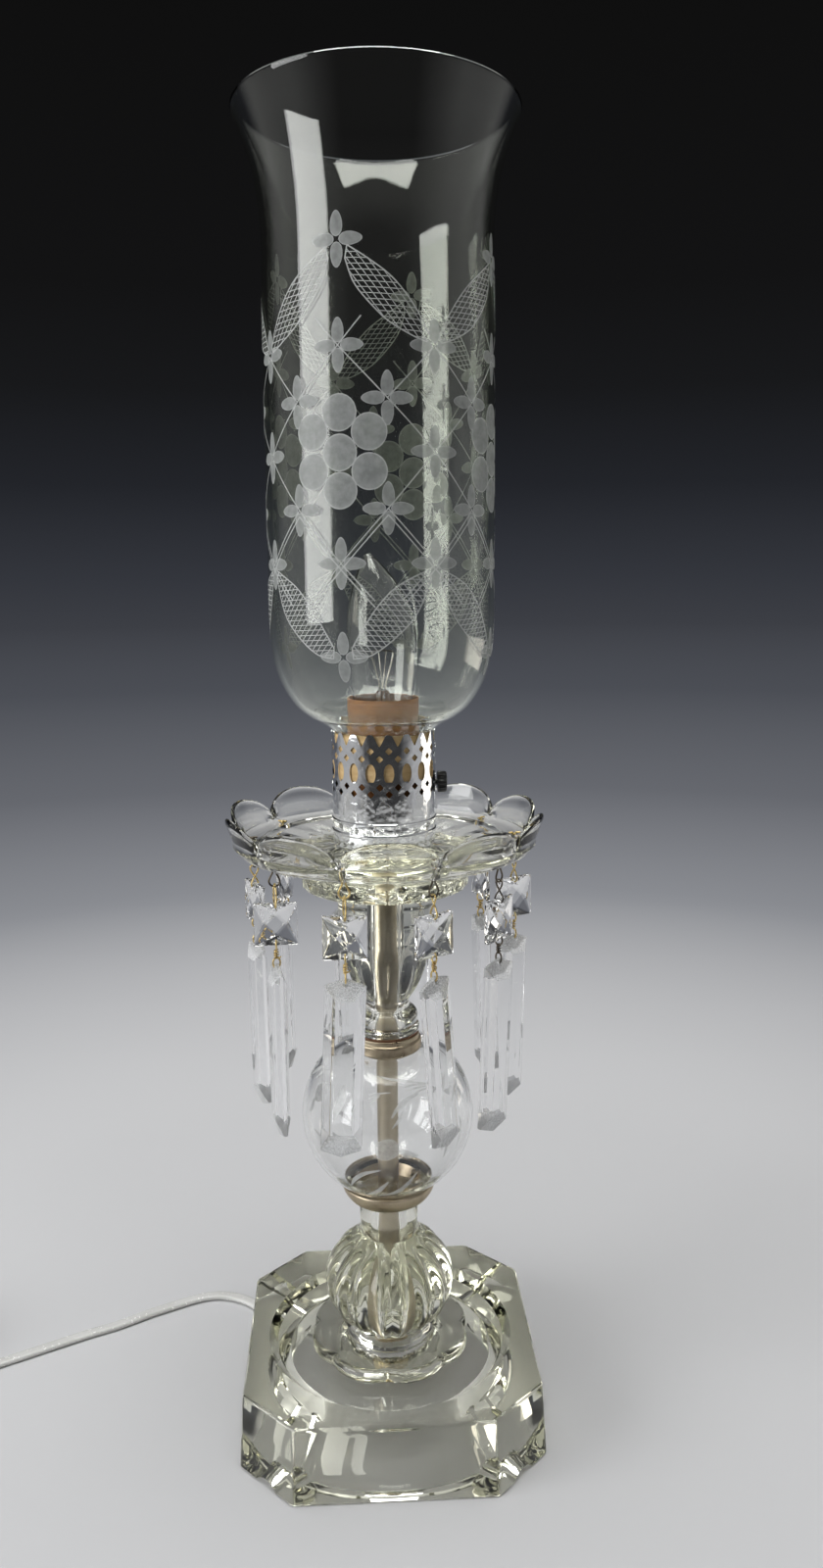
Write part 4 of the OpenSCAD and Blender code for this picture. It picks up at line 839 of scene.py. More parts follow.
def bobeche():
    n = LOBES * 28
    angles = [360 * i / n for i in range(n)]
    sections = [bobeche_section(a) for a in angles]
    rings = [[place(a, sections[j][i][0], BOBECHE_Z + sections[j][i][1]) for j, a in enumerate(angles)]
             for i in range(len(sections[0]))]
    v, f = rings_solid(rings)
    ob = piece("scalloped_dish", v, f, PRESSED, "lamp", ("bobeche",), "clear_glass", 30)
    drills = []
    for k in range(LOBES):
        x, y, _ = place(36 * k + 18, HOOK_R, 0)
        # Turned half a step, so that no corner of a drill lies on an edge of the dish
        rings = [[(x + 1.6 * cos(a), y + 1.6 * sin(a), BOBECHE_Z + z) for a in range(10, 370, 20)]
                 for z in (14, 25)]
        drills.append(rings_solid(rings, False))
    v, f = joined(drills)
    mesh = bpy.data.meshes.new("drills")
    mesh.from_pydata([(x * MM, y * MM, z * MM) for x, y, z in v], [], f)
    b = bmesh.new()
    b.from_mesh(mesh)
    bmesh.ops.recalc_face_normals(b, faces=b.faces)
    b.to_mesh(mesh)
    b.free()
    cutter = bpy.data.objects.new("drills", mesh)
    scene.collection.objects.link(cutter)
    cut = ob.modifiers.new("holes", "BOOLEAN")
    cut.operation = "DIFFERENCE"
    cut.solver = "EXACT"
    cut.object = cutter
    bpy.context.view_layer.update()
    done = bpy.data.meshes.new_from_object(ob.evaluated_get(bpy.context.evaluated_depsgraph_get()))
    ob.modifiers.clear()
    ob.data = done
    bpy.data.objects.remove(cutter)


# Globe, shade and bulb
GLOBE_Z, GLOBE_R, GLOBE_T = 144.61, 38.8, 1.8


def globe_section():
    """The globe's wall, outside from the low opening to the top one and back inside."""
    top_h, top_r, low_r = 30.6, 13, 18.3

    def half(r, inset):
        s = math.sqrt(max(0.01, (GLOBE_R - inset) ** 2 - r * r))
        c = top_h + 0.7 - inset
        return (s ** -9 + c ** -9) ** (-1 / 9)

    drop = math.sqrt(GLOBE_R ** 2 - low_r ** 2)

    def side(inset):
        q = GLOBE_R - inset
        low = math.degrees(math.asin(drop / q)) - 0.4
        lower = [(q * cos(a), q * sin(a)) for a in [-low + low * i / 24 for i in range(25)]]
        upper = [(q * cos(2.6 * i), half(q * cos(2.6 * i), inset)) for i in range(1, 26)
                 if q * cos(2.6 * i) > top_r + 1]
        return lower + upper

    outside = side(0)
    inside = side(GLOBE_T)
    lip = [(top_r + 0.3, top_h - 0.3), (top_r, top_h - 0.9), (top_r + 0.3, top_h - 1.6)]
    foot_in = inside[0]
    foot_out = outside[0]
    lower_lip = [((foot_in[0] + foot_out[0]) / 2, foot_out[1] + 0.08)]
    return outside + lip + inside[::-1] + lower_lip


def globe():
    v, f = spun([(r, GLOBE_Z + z) for r, z in globe_section()], 144)
    piece("blown_globe", v, f, CLEAR, "lamp", ("globe",), "shade_glass", 40)


SHADE_T = 2.2
SHADE_LINE = [(20.5, 300.0), (20.7, 310), (20.9, 316), (22.2, 319.6), (25.6, 322.4), (30.5, 324.9), (36.2, 329.3),
              (41.2, 336.4), (44.7, 344.6), (46.6, 354), (47.2, 366), (47.3, 380), (47.2, 419), (47.0, 465),
              (46.8, 495), (46.6, 511), (46.8, 521), (47.6, 530), (49.2, 540), (51.4, 548), (54.2, 555.6),
              (57.0, 562.4)]


def shade_r(z):
    """Outer radius of the shade at a height."""
    for (r0, z0), (r1, z1) in zip(SHADE_FINE, SHADE_FINE[1:]):
        if z0 <= z <= z1:
            return r0 + (r1 - r0) * (z - z0) / (z1 - z0)
    return SHADE_FINE[-1][0]


SHADE_FINE = [p[:2] for p in bent([(r, z, 0) for r, z in SHADE_LINE], 5)]


def shade():
    outside = SHADE_FINE
    inside = []
    for i, (r, z) in enumerate(outside):
        r0, z0 = outside[max(0, i - 1)]
        r1, z1 = outside[min(len(outside) - 1, i + 1)]
        d = math.hypot(r1 - r0, z1 - z0)
        inside.append((r - SHADE_T * (z1 - z0) / d, z + SHADE_T * (r1 - r0) / d))
    (ro, zo), (ri, zi) = outside[-1], inside[-1]
    rim = [(ro + 0.15, zo + 0.75), (ro - 0.35, zo + 1.35), ((ro + ri) / 2, 563.85), (ri + 0.1, zi + 0.35)]
    inside[0] = (inside[0][0], outside[0][1])
    v, f = spun(outside + rim + inside[::-1], 192)
    piece("hurricane_shade", v, f, BLOWN, "shade", ("shade",), "shade_glass", 40)


BULB_Z, BULB_H = 326.41, 68


def bulb_r(t, inset):
    wide, neck = 15, 11.95
    if t < 0.42:
        r = neck + (wide - neck) * sin(90 * t / 0.42)
    else:
        r = wide * cos(90 * ((t - 0.42) / 0.58) ** 1.25) ** 0.9
    return max(r - inset, 0.5)


def bulb_x(t):
    return -6 * (max(0, t - 0.35) / 0.65) ** 2.2


def bulb():
    n, m = 48, 40

    def skin(inset, last):
        return [[(bulb_x(t) + bulb_r(t, inset) * cos(360 * j / n), bulb_r(t, inset) * sin(360 * j / n),
                  BULB_Z + BULB_H * t) for j in range(n)] for t in [last * i / m for i in range(m + 1)]]

    outer, inner = skin(0, 0.985), skin(0.7, 0.965)
    v1, f1 = rings_solid(outer, False)
    v2, f2 = rings_solid(inner, False)
    # One closed glass wall: both skins without their lower caps, joined at the foot
    f1 = f1[:-2] + f1[-1:]
    f2 = f2[:-2] + f2[-1:]
    v, f = joined([(v1, f1), (v2, f2)])
    k = len(v1)
    f += [(j, (j + 1) % n, k + (j + 1) % n, k + j) for j in range(n)]
    piece("flame_bulb", v, f, THIN, "bulb", ("bulb_glass",), "bulb_glass", 60)

    # Flare, stem press, leads, supports and a coiled filament
    top = BULB_Z + 26
    flare = softened([(0.6, BULB_Z - 7.9, 0), (11.6, BULB_Z - 7.9, 0.5), (7, BULB_Z - 3.5, 2), (3.1, BULB_Z - 0.4, 2),
                      (2.9, BULB_Z + 8, 0.5), (2.4, BULB_Z + 10, 1), (0.6, BULB_Z + 10, 0)])
    press = spun(flare, 24)
    wires = []
    for side in (-1, 1):
        wires.append(tube(bent([(side * 1.2, 0, BULB_Z + 8.5), (side * 1.6, 0, BULB_Z + 13),
                                (side * 4.2, 0, BULB_Z + 23), (side * 4.6, 0, top)], 4), 0.32, 8))
        wires.append(tube(bent([(0, side * 1.0, BULB_Z + 9), (side * 0.8, side * 1.6, BULB_Z + 18),
                                (side * 1.6, side * 0.3, top + 0.2)], 4), 0.2, 6))
    helix = [(-4.6 + 9.2 * i / 240, 0.42 * cos(i * 24), top + 0.5 * sin(180 * i / 240) + 0.42 * sin(i * 24))
             for i in range(241)]
    v, f = press
    piece("bulb_press", v, f, THIN, "bulb", ("bulb_mount",), "bulb_glass", 40)
    v, f = joined(wires)
    piece("bulb_leads", v, f, NICKEL, "bulb", (), "nickel", 60)
    v, f = tube(helix, 0.12, 5)
    piece("filament", v, f, DARK, "bulb", (), "wire", 60)


# Metal of the stack
PIPE_R, GALLERY_Z = 4.75, 270.01


def stack_metal():
    v, f = spun(softened([(3.55, 12.7, 0.2), (PIPE_R, 12.7, 0.3), (PIPE_R, 282.6, 0.3), (3.55, 282.6, 0.2)]), 48)
    piece("pipe", v, f, TUBE, "lamp", ("lamp_pipe",), "aged_brass", 40)

    # Cup ring: a spun bowl with a rolled lip
    z = 102
    v, f = spun([(r, z + h) for r, h in softened([
        (4.85, 0.1, 0.3), (14.2, 0.1, 0.8), (17.7, 1.3, 2), (20.4, 4.8, 2), (21.35, 7.6, 1), (21.45, 8.7, 0.5),
        (20.9, 9.15, 0.3), (20.45, 9.0, 0.3), (20.3, 8.5, 0.4), (19.9, 8.35, 0.2), (16.8, 8.35, 0.3),
        (15.8, 6.8, 0.5), (13.8, 1.8, 0.5), (4.85, 1.8, 0.2)], 0.5)], 96)
    piece("cup_bowl", v, f, BRONZE, "lamp", ("cup_ring",), "bronze", 30)

    # Check disc: a spun cap with a stepped edge, and the gasket line above it
    z = 175.26
    v, f = spun([(r, z + h) for r, h in softened([
        (4.85, -3.15, 0.2), (11.9, -3.15, 0.3), (12.6, -2.6, 0.3), (12.65, 0.05, 0.1), (15.1, 0.05, 0.3),
        (15.45, 0.6, 0.3), (15.45, 4.4, 0.5), (14.9, 5.0, 0.4), (14.5, 5.4, 0.2), (14.55, 6.8, 0.3),
        (14.3, 7.2, 0.3), (4.85, 7.2, 0.2)], 0.4)], 96)
    piece("check_cap", v, f, BRONZE, "lamp", ("check_disc",), "bronze", 30)
    v, f = spun([(r, z + h) for r, h in softened([
        (4.85, 7.22, 0.1), (13.9, 7.22, 0.3), (14.15, 7.7, 0.4), (13.9, 8.28, 0.3), (4.85, 8.28, 0.1)], 0.3)], 96)
    piece("gasket", v, f, RUST, "lamp", (), "card_brown", 40)

    # Washer and hexagon nuts
    v, f = spun([(r, h) for r, h in softened([(4.85, 20.65, 0.2), (9.4, 20.65, 0.3), (9.4, 21.95, 0.3),
                                              (4.85, 21.95, 0.2)])], 48)
    piece("plate_washer", v, f, BRONZE, "lamp", ("base_washer",), "bronze", 30)
    v, f = joined([hex_nut(16.65, 3.9), hex_nut(270.78, 3.9)])
    piece("hex_nuts", v, f, BRASS, "lamp", ("pipe_nuts",), "aged_brass", 30)

    # Collar at the pedestal's foot with its thumb screw
    v, f = spun(softened([(4.8, 31.1, 0.1), (7.3, 31.1, 0.4), (7.3, 38.9, 0.4), (4.8, 38.9, 0.1)]), 48)
    screw = [(5.0, 1.5), (7.4, 1.5), (7.9, 1.7), (7.95, 3.7), (8.3, 4.0), (10.4, 4.0), (10.9, 3.5)]
    rings = []
    for x, r in screw:
        knurl = 0.18 if r > 3.4 else 0
        rings.append([(x, (r - knurl * (j % 2)) * cos(7.5 * j), 35.4 + (r - knurl * (j % 2)) * sin(7.5 * j))
                      for j in range(48)])
    v2, f2 = rings_solid(rings, False)
    piece("collar", v, f, BRASS, "lamp", ("foot_collar",), "aged_brass", 30)
    piece("thumb_screw", v2, f2, BLACK, "lamp", (), "black_moulding", 30)


def hex_nut(z, t):
    """Nut with chamfered corners."""
    rings = []
    for r, h in ((4.8, 0.2), (5.1, 0), (6.9, 0), (8.05, 0.6), (8.05, t - 0.6), (6.9, t), (5.1, t), (4.8, t - 0.2)):
        ring = []
        for j in range(60):
            a = 6 * j
            flat = 7 / cos((a + 30) % 60 - 30)
            ring.append((min(r, flat) * cos(a), min(r, flat) * sin(a), z + h))
        rings.append(ring)
    return rings_solid(rings)


# Gallery: a chromed sheet cylinder, pierced in rows, with a crown of points
GALLERY_R, GALLERY_T, GALLERY_H = 22.25, 0.7, 49.6
PIERCED, DIAMOND_W, OVAL_W, OVAL_H = 18, 3.2, 4.4, 8.4
CROWN_W, CROWN_DEPTH, SHEET_LOW = 6.2, 5.4, 12.05
GALLERY_TURN, KNOB_Z = 4, 26


def opening(u, z, w, h, corners):
    """Outline of one pierced opening on the unrolled sheet; the diamonds have eased corners."""
    points = [(u + w / 2 * sin(360 * i / corners), z + h / 2 * cos(360 * i / corners)) for i in range(corners)]
    return softened(points, 0.35, 2) if corners == 4 else points


def sheet_cell(pitch):
    """One repeat of the unrolled sheet, as points and triangles, with the list of its cut edges."""
    right = 2.24
    left = right - pitch
    slope = (CROWN_DEPTH + 0.6) / (CROWN_W / 2)
    notch_z = GALLERY_H - CROWN_DEPTH
    seam_z = notch_z + (pitch / 2 - right) * slope
    tip = pitch / 2 - (GALLERY_H - notch_z) / slope
    crown = softened([(left, seam_z, 0), (-pitch / 2, notch_z, 0.9), (-tip, GALLERY_H, 0.8), (tip, GALLERY_H, 0.8),
                      (right, seam_z, 0)], 0, 4)
    count = 30
    side_z = [SHEET_LOW + (seam_z - SHEET_LOW) * i / count for i in range(count + 1)]
    across = [left + pitch * i / 6 for i in range(7)]
    border = [(left, z) for z in side_z[:-1]] + crown + [(right, z) for z in reversed(side_z[:-1])]
    border += [(u, SHEET_LOW) for u in reversed(across[1:-1])]
    holes = [opening(0, z, DIAMOND_W, DIAMOND_W, 4) for z in (42.7, 24.6)]
    holes += [opening(-pitch / 2, z, DIAMOND_W, DIAMOND_W, 4) for z in (39.4, 27.5)]
    holes.append(opening(0, 33.2, OVAL_W, OVAL_H, 20))
    points, edges = [], []
    for loop in [border] + holes:
        k = len(points)
        points += loop
        edges += [(k + i, k + (i + 1) % len(loop)) for i in range(len(loop))]

    def inside(p, loop):
        hit = False
        for (x0, y0), (x1, y1) in zip(loop, loop[1:] + loop[:1]):
            if (y0 > p[1]) != (y1 > p[1]) and p[0] < x0 + (p[1] - y0) / (y1 - y0) * (x1 - x0):
                hit = not hit
        return hit

    def clear(p, loop, room):
        return all((p[0] - x) ** 2 + (p[1] - y) ** 2 > room * room for x, y in loop)

    extra = []
    z = SHEET_LOW + 1.1
    while z < GALLERY_H - 0.6:
        for u in across[1:-1]:
            p = (u, z)
            if inside(p, border) and not any(inside(p, h) for h in holes) and all(
                    clear(p, loop, 0.55) for loop in [crown] + holes):
                extra.append(p)
        z += 1.2
    points += extra
    done = delaunay_2d_cdt([Vector(p) for p in points], edges, [], 0, 1e-5)
    verts, faces = [tuple(v) for v in done[0]], done[2]
    kept = []
    for f in faces:
        c = (sum(verts[i][0] for i in f) / len(f), sum(verts[i][1] for i in f) / len(f))
        if inside(c, border) and not any(inside(c, h) for h in holes):
            kept.append(tuple(f))
    return verts, kept, (left, right)


def gallery():
    pitch = 2 * math.pi * GALLERY_R / PIERCED
    points, faces, (left, right) = sheet_cell(pitch)
    step = 360 / PIERCED
    used = {}
    for f in faces:
        for i in range(len(f)):
            key = tuple(sorted((f[i], f[(i + 1) % len(f)])))
            used[key] = used.get(key, 0) + 1
    seam = [i for i, p in enumerate(points) if abs(p[0] - left) < 1e-4 or abs(p[0] - right) < 1e-4]
    verts, out = [], []
    n = len(points)
    for k in range(PIERCED):
        base_i = len(verts)
        for radius in (GALLERY_R, GALLERY_R - GALLERY_T):
            for u, z in points:
                a = GALLERY_TURN + k * step + u / pitch * step
                verts.append(place(a, radius, GALLERY_Z + z))
        out += [tuple(base_i + i for i in f) for f in faces]
        out += [tuple(base_i + n + i for i in reversed(f)) for f in faces]
        for (a, b), count in used.items():
            if count == 1 and not (a in seam and b in seam and abs(points[a][0] - points[b][0]) < 1e-4):
                out.append((base_i + a, base_i + b, base_i + n + b, base_i + n + a))
    r = GALLERY_R
    lower = [(4.85, 0.1), (r - 1.1, 0.1), (r - 0.3, 0.35), (r, 1.1), (r, 5.4), (r + 0.3, 5.6), (r + 0.48, 6.0),
             (r + 0.48, 6.6), (r + 0.3, 7.0), (r, 7.2), (r, 10.8), (r + 0.2, 10.95), (r + 0.38, 11.2),
             (r + 0.38, 11.6), (r + 0.2, 11.85), (r, SHEET_LOW), (r - 0.7, SHEET_LOW), (r - 0.7, 1.5), (r - 1.5, 0.7),
             (4.85, 0.7)]
    ledge = [(r - 0.72, 29.6), (15.95, 29.6), (15.95, 28.95), (r - 0.72, 28.95)]
    bottom = spun([(q, GALLERY_Z + z) for q, z in lower], 144)
    shelf = spun([(q, GALLERY_Z + z) for q, z in ledge], 144)
    v, f = joined([(verts, out), bottom, shelf])
    piece("pierced_gallery", v, f, CHROME, "lamp", ("gallery",), "chrome", 35)


def card_sleeves():
    # Tan card between the gallery and the shade's neck, a little wavy along its top
    low, high = GALLERY_Z + 29.7, GALLERY_Z + 49.2
    rings = []
    n = 120
    outline = softened([(20.9, low, 0.1), (21.47, low, 0.1), (21.47, high, 0.15), (20.9, high, 0.15)], 0.1, 2)
    for r, z in outline:
        rings.append([(r * cos(360 * i / n), r * sin(360 * i / n),
                       z + (0.25 * sin(5 * 360 * i / n) * cos(3 * 360 * i / n) if z > low + 5 else 0) - 0.1)
                      for i in range(n)])
    v, f = rings_solid(rings)
    piece("card_shim", v, f, TAN, "lamp", ("shade_shim",), "card_tan", 40)

    # Brown card liner of the socket, with a fold line round its lip
    low, high, r = 282.15, 332.95, 15.3
    outline = softened([(r - 0.95, low, 0.1), (r, low, 0.2), (r, high - 2.4, 0.3), (r - 0.12, high - 2.1, 0.2),
                        (r, high - 1.8, 0.3), (r, high, 0.35), (r - 0.95, high, 0.35)], 0.2, 3)
    rings = [[(q * cos(360 * i / n), q * sin(360 * i / n), z) for i in range(n)] for q, z in outline]
    v, f = rings_solid(rings)
    piece("card_liner", v, f, BROWN, "lamp", ("socket_liner",), "card_brown", 40)


def socket():
    # Brass cap on the pipe
    z = 275.21
    v, f = spun([(r, z + h) for r, h in softened([
        (4.8, 0.05, 0.2), (9, 0.05, 0.8), (13.3, 3.2, 0.8), (15.3, 4.4, 0.4), (15.3, 6.6, 0.15), (14.5, 6.6, 0.15),
        (14.5, 5, 0.4), (12.3, 4, 0.6), (7.75, 2.2, 0.6), (6.75, 4.6, 0.2), (4.8, 4.6, 0.2)])], 72)
    piece("socket_brass", v, f, BRASS, "lamp", ("socket_cap",), "aged_brass", 30)

    # Black switch block with a waist
    low, high = 280.3, 300.9
    v, f = spun(softened([(7.4, low, 0.3), (14.0, low, 0.8), (14.0, 286, 0.3), (13.4, 287, 0.3), (13.4, 293.4, 0.3),
                          (14.0, 294.4, 0.3), (14.0, high, 0.8), (0.8, high, 0.3), (0.8, 292.8, 0.3),
                          (7.4, 292.8, 0.3)]), 72)
    piece("switch_block", v, f, BLACK, "lamp", ("socket_body",), "black_moulding", 30)

    # Screw shell with its rolled thread, and the centre tongue
    n = 96
    rings = []
    low, high = 301.05, 323.9
    m = 46
    for inset in (0.0, 0.4):
        levels = [low + (high - low) * i / m for i in range(m + 1)]
        for z in (levels if inset == 0 else reversed(levels)):
            rings.append([((13.75 - inset - 0.25 * sin(360 * (z / 3.63) - a) ** 2) * cos(a),
                           (13.75 - inset - 0.25 * sin(360 * (z / 3.63) - a) ** 2) * sin(a), z)
                          for a in [360 * i / n for i in range(n)]])
    v, f = rings_solid(rings)
    tongue = bent([(-4, 0, 301.3), (0, 0, 301.5), (3.0, 0, 302.0), (4, 0, 301.4)], 4)
    strip = rings_solid([[(x, -2.4, z - 0.2), (x, 2.4, z - 0.2), (x, 2.4, z + 0.2), (x, -2.4, z + 0.2)]
                         for x, _, z in tongue], False)
    v, f = joined([(v, f), strip])
    piece("screw_shell", v, f, BRASS, "lamp", ("socket_contacts",), "aged_brass", 50)

    # The bulb's cap: rolled thread, black insulator and solder button
    rings = []
    z0 = 303.41
    for i in range(41):
        z = z0 + 5.2 + 17.6 * i / 40
        rings.append([((12.75 + 0.35 * sin(360 * (z / 3.63) - a)) * cos(a),
                       (12.75 + 0.35 * sin(360 * (z / 3.63) - a)) * sin(a), z)
                      for a in [360 * j / n for j in range(n)]])
    inner = [[(11.9 * cos(360 * j / n), 11.9 * sin(360 * j / n), z) for j in range(n)]
             for z in (z0 + 22.8, z0 + 5.6)]
    v, f = rings_solid(rings + inner)
    piece("bulb_thread", v, f, NICKEL, "bulb", ("bulb_cap",), "nickel", 60)
    v, f = spun([(r, z0 + h) for r, h in softened([(0.6, 1.5, 0.2), (5.4, 1.5, 0.4), (12.0, 4.7, 0.5),
                                                  (12.0, 5.4, 0.2), (0.6, 5.4, 0.2)])], 48)
    piece("bulb_insulator", v, f, BLACK, "bulb", (), "black_moulding", 30)
    v, f = spun([(r, z0 + h) for r, h in softened([(0.4, 0.1, 0.2), (3.4, 0.2, 1.0), (4.8, 1.5, 0.4),
                                                  (0.4, 1.5, 0.2)])], 32)
    piece("bulb_button", v, f, NICKEL, "bulb", (), "nickel", 40)


def knob():
    """Ribbed switch knob on its shaft, at the gallery's right side."""
    z = GALLERY_Z + KNOB_Z
    n = 108
    rings = []
    outline = [(4.65, 0.9, 0), (4.8, 1.45, 0), (23.0, 1.45, 0), (23.1, 2.6, 0), (23.25, 4.3, 0.3), (23.6, 4.68, 1),
               (26.3, 4.6, 1), (26.95, 4.3, 1), (27.2, 3.7, 0.5), (27.2, 2.0, 0), (27.0, 1.0, 0)]
    for x, r, rib in outline:
        ring = []
        for j in range(n):
            a = 360 * j / n
            q = r - 0.42 * rib * (0.5 + 0.5 * cos(18 * a)) ** 2
            ring.append((x, q * cos(a), z + q * sin(a)))
        rings.append(ring)
    v, f = rings_solid(rings, False)
    piece("turn_knob", v, f, BLACK, "knob", ("switch_knob",), "black_moulding", 30)


# Drops: each jewel hangs from a hook in the dish's flange, and a prism from each jewel
JEWEL_TURN = [13, -6, -61, -20, 12, -15, 20, 28, 58, 18]
PRISM_TURN = [28, -12, -48, -17, -20, 25, 30, 25, -20, 18]
PRISM_LEAN = [-6, 3, 2.5, 3.5, -1, 1.5, 2, -2, 0, 2.5]
DARK_HOOKS, DARK_UPPER, DARK_LOWER = (0, 1, 4, 7, 8), (1, 6), (1,)
JEWEL_W, JEWEL_T, PRISM_W, PRISM_LEN, PRISM_T = 17.8, 6, 16.8, 76, 6.4
PRISM_POINT, SIDE_BEVEL, END_BEVEL, INSET, HOLE_R = 3, 4.6, 8.4, 2, 1.1
END_EASE = 0.3
WIRE_R, EYE_R = 0.4, 2.2
HOOK_TOP_Z = 272.66
JEWEL_Z = 243.61
JEWEL_HOLE_Z, JEWEL_LOW_Z = JEWEL_Z + JEWEL_W / 2 - INSET, JEWEL_Z - JEWEL_W / 2 + INSET
LINK_TOP_Z = JEWEL_HOLE_Z + 2 * EYE_R + 5.6 - EYE_R
HINGE_Z = LINK_TOP_Z + EYE_R - 1.0
PRISM_HOLE_Z = JEWEL_LOW_Z - 12


def at_drop(k, *turns):
    """Matrix from a drop's own frame, with the hook's hole at its origin, to the lamp's."""
    m = Matrix.Rotation(math.radians(36 * k + 18), 4, "Z") @ Matrix.Translation((0, -HOOK_R, 0))
    for t in turns:
        m = m @ t
    return m


def moved(part, matrix):
    v, f = part
    return [tuple(matrix @ Vector(p)) for p in v], f


def drilled(part, holes, bevel):
    """Faceted glass with its edges eased and round holes drilled through, local Z being its thickness."""
    v, f = part
    mesh = bpy.data.meshes.new("cut")
    mesh.from_pydata(v, [], f)
    b = bmesh.new()
    b.from_mesh(mesh)
    bmesh.ops.recalc_face_normals(b, faces=b.faces)
    bmesh.ops.bevel(b, geom=b.edges[:], offset=bevel, segments=1, affect="EDGES", clamp_overlap=True)
    b.to_mesh(mesh)
    b.free()
    ob = bpy.data.objects.new("cut", mesh)
    scene.collection.objects.link(ob)
    drills = joined([rings_solid([[(x + HOLE_R * cos(a), y + HOLE_R * sin(a), z) for a in range(0, 360, 24)]
                                  for z in (-8, 8)], False) for x, y in holes])
    drill_mesh = bpy.data.meshes.new("drill")
    drill_mesh.from_pydata(drills[0], [], drills[1])
    b = bmesh.new()
    b.from_mesh(drill_mesh)
    bmesh.ops.recalc_face_normals(b, faces=b.faces)
    b.to_mesh(drill_mesh)
    b.free()
    cutter = bpy.data.objects.new("drill", drill_mesh)
    scene.collection.objects.link(cutter)
    cut = ob.modifiers.new("holes", "BOOLEAN")
    cut.operation = "DIFFERENCE"
    cut.solver = "EXACT"
    cut.object = cutter
    bpy.context.view_layer.update()
    done = bpy.data.meshes.new_from_object(ob.evaluated_get(bpy.context.evaluated_depsgraph_get()))
    result = [tuple(p.co) for p in done.vertices], [tuple(p.vertices) for p in done.polygons]
    for spare in (ob, cutter):
        bpy.data.objects.remove(spare)
    return result


def jewel_shape():
    """Square jewel: on each face a small turned table, four edge triangles and four corner ones."""
    h, girdle, top, reach = JEWEL_W / 2, 0.9, JEWEL_T / 2, 4.3
    verts = [(x * h, y * h, z * girdle) for z in (-1, 1) for x, y in ((1, -1), (1, 1), (-1, 1), (-1, -1))]
    verts += [(x * reach, y * reach, z * top) for z in (-1, 1) for x, y in ((1, 0), (0, 1), (-1, 0), (0, -1))]
    faces = []
    for i in range(4):
        j = (i + 1) % 4
        faces.append((i, j, 4 + j, 4 + i))
        for ring, table in ((0, 8), (4, 12)):
            faces.append((ring + i, ring + j, table + i))
            faces.append((ring + j, table + i, table + j))
    faces += [(8, 9, 10, 11), (12, 13, 14, 15)]
    return drilled((verts, faces), [(0, h - INSET), (0, INSET - h)], 0.13)


def prism_shape():
    """Bevelled bar with low pointed ends, its upper hole at the origin."""
    w, edge, top = PRISM_W / 2, 0.8, PRISM_T / 2
    low = INSET - PRISM_LEN
    outline = [(0, INSET), (w, INSET - PRISM_POINT), (w, low + PRISM_POINT), (0, low), (-w, low + PRISM_POINT),
               (-w, INSET - PRISM_POINT)]
    t = w - SIDE_BEVEL
    table = [(t, INSET - END_BEVEL), (t, low + END_BEVEL), (-t, low + END_BEVEL), (-t, INSET - END_BEVEL)]
    verts = [(x, y, s * edge) for s in (-1, 1) for x, y in outline]
    verts += [(x, y, s * top) for s in (-1, 1) for x, y in table]
    faces = [(i, (i + 1) % 6, 6 + (i + 1) % 6, 6 + i) for i in range(6)]
    for o, q in ((0, 12), (6, 16)):
        faces += [(o, o + 1, q), (o, q, q + 3), (o, q + 3, o + 5), (o + 1, o + 2, q + 1, q), (o + 2, o + 3, q + 1),
                  (o + 3, q + 1, q + 2), (o + 3, o + 4, q + 2), (o + 4, o + 5, q + 3, q + 2),
                  (q, q + 1, q + 2, q + 3)]
    return drilled((verts, faces), [(0, 0)], 0.16)


def grind_ends(prism, stand):
    """Gives a prism's two ends their finely ground finish; stand takes its shape to its place."""
    back = stand.inverted()
    reach = max(END_BEVEL, PRISM_POINT) + END_EASE
    for face in prism.data.polygons:
        along = [(back @ (prism.data.vertices[i].co / MM)).y for i in face.vertices]
        if min(along) > INSET - reach or max(along) < INSET - PRISM_LEN + reach:
            face.material_index = 1


def hook_shape(turn):
    """Hairpin hook: two ends bent over on the flange, two legs down the hole and a loop below."""
    d = Vector((cos(turn), sin(turn), 0))
    out = Vector((0, -1, 0))
    top = Vector((0, 0, HOOK_TOP_Z))
    eye_z = HINGE_Z + EYE_R
    legs = [top + out * 2.3 + d * 0.4, top + out * 1.2 + d * 0.42, top + d * 0.5 - Vector((0, 0, 0.5))]
    legs += [Vector((0, 0, 266)) + d * 0.62, Vector((0, 0, eye_z + 2.4)) + d * 1.3]
    loop = [Vector((0, 0, eye_z)) + d * EYE_R * cos(a) + Vector((0, 0, EYE_R * sin(a)))
            for a in (12, -22, -56, -90, -124, -158, -192)]
    back = [Vector((0, 0, eye_z + 2.4)) - d * 1.3, Vector((0, 0, 266)) - d * 0.62,
            top - d * 0.5 - Vector((0, 0, 0.5)), top - out * 1.0 - d * 0.42, top - out * 2.0 - d * 0.4]
    return tube(bent([tuple(p) for p in legs + loop + back], 4), WIRE_R, 10)


def upper_link(turn):
    """Crossed wire loop between the hook and the jewel."""
    high, low = LINK_TOP_Z + EYE_R, JEWEL_HOLE_Z
    mid, half = (high + low) / 2, (high - low) / 2
    path = []
    for i in range(60):
        a = 6 * i
        path.append((0.5 * sin(a), 1.75 * sin(2 * a), mid + half * cos(a)))
    return turned(tube(path, WIRE_R - 0.04, 8, True), turn)


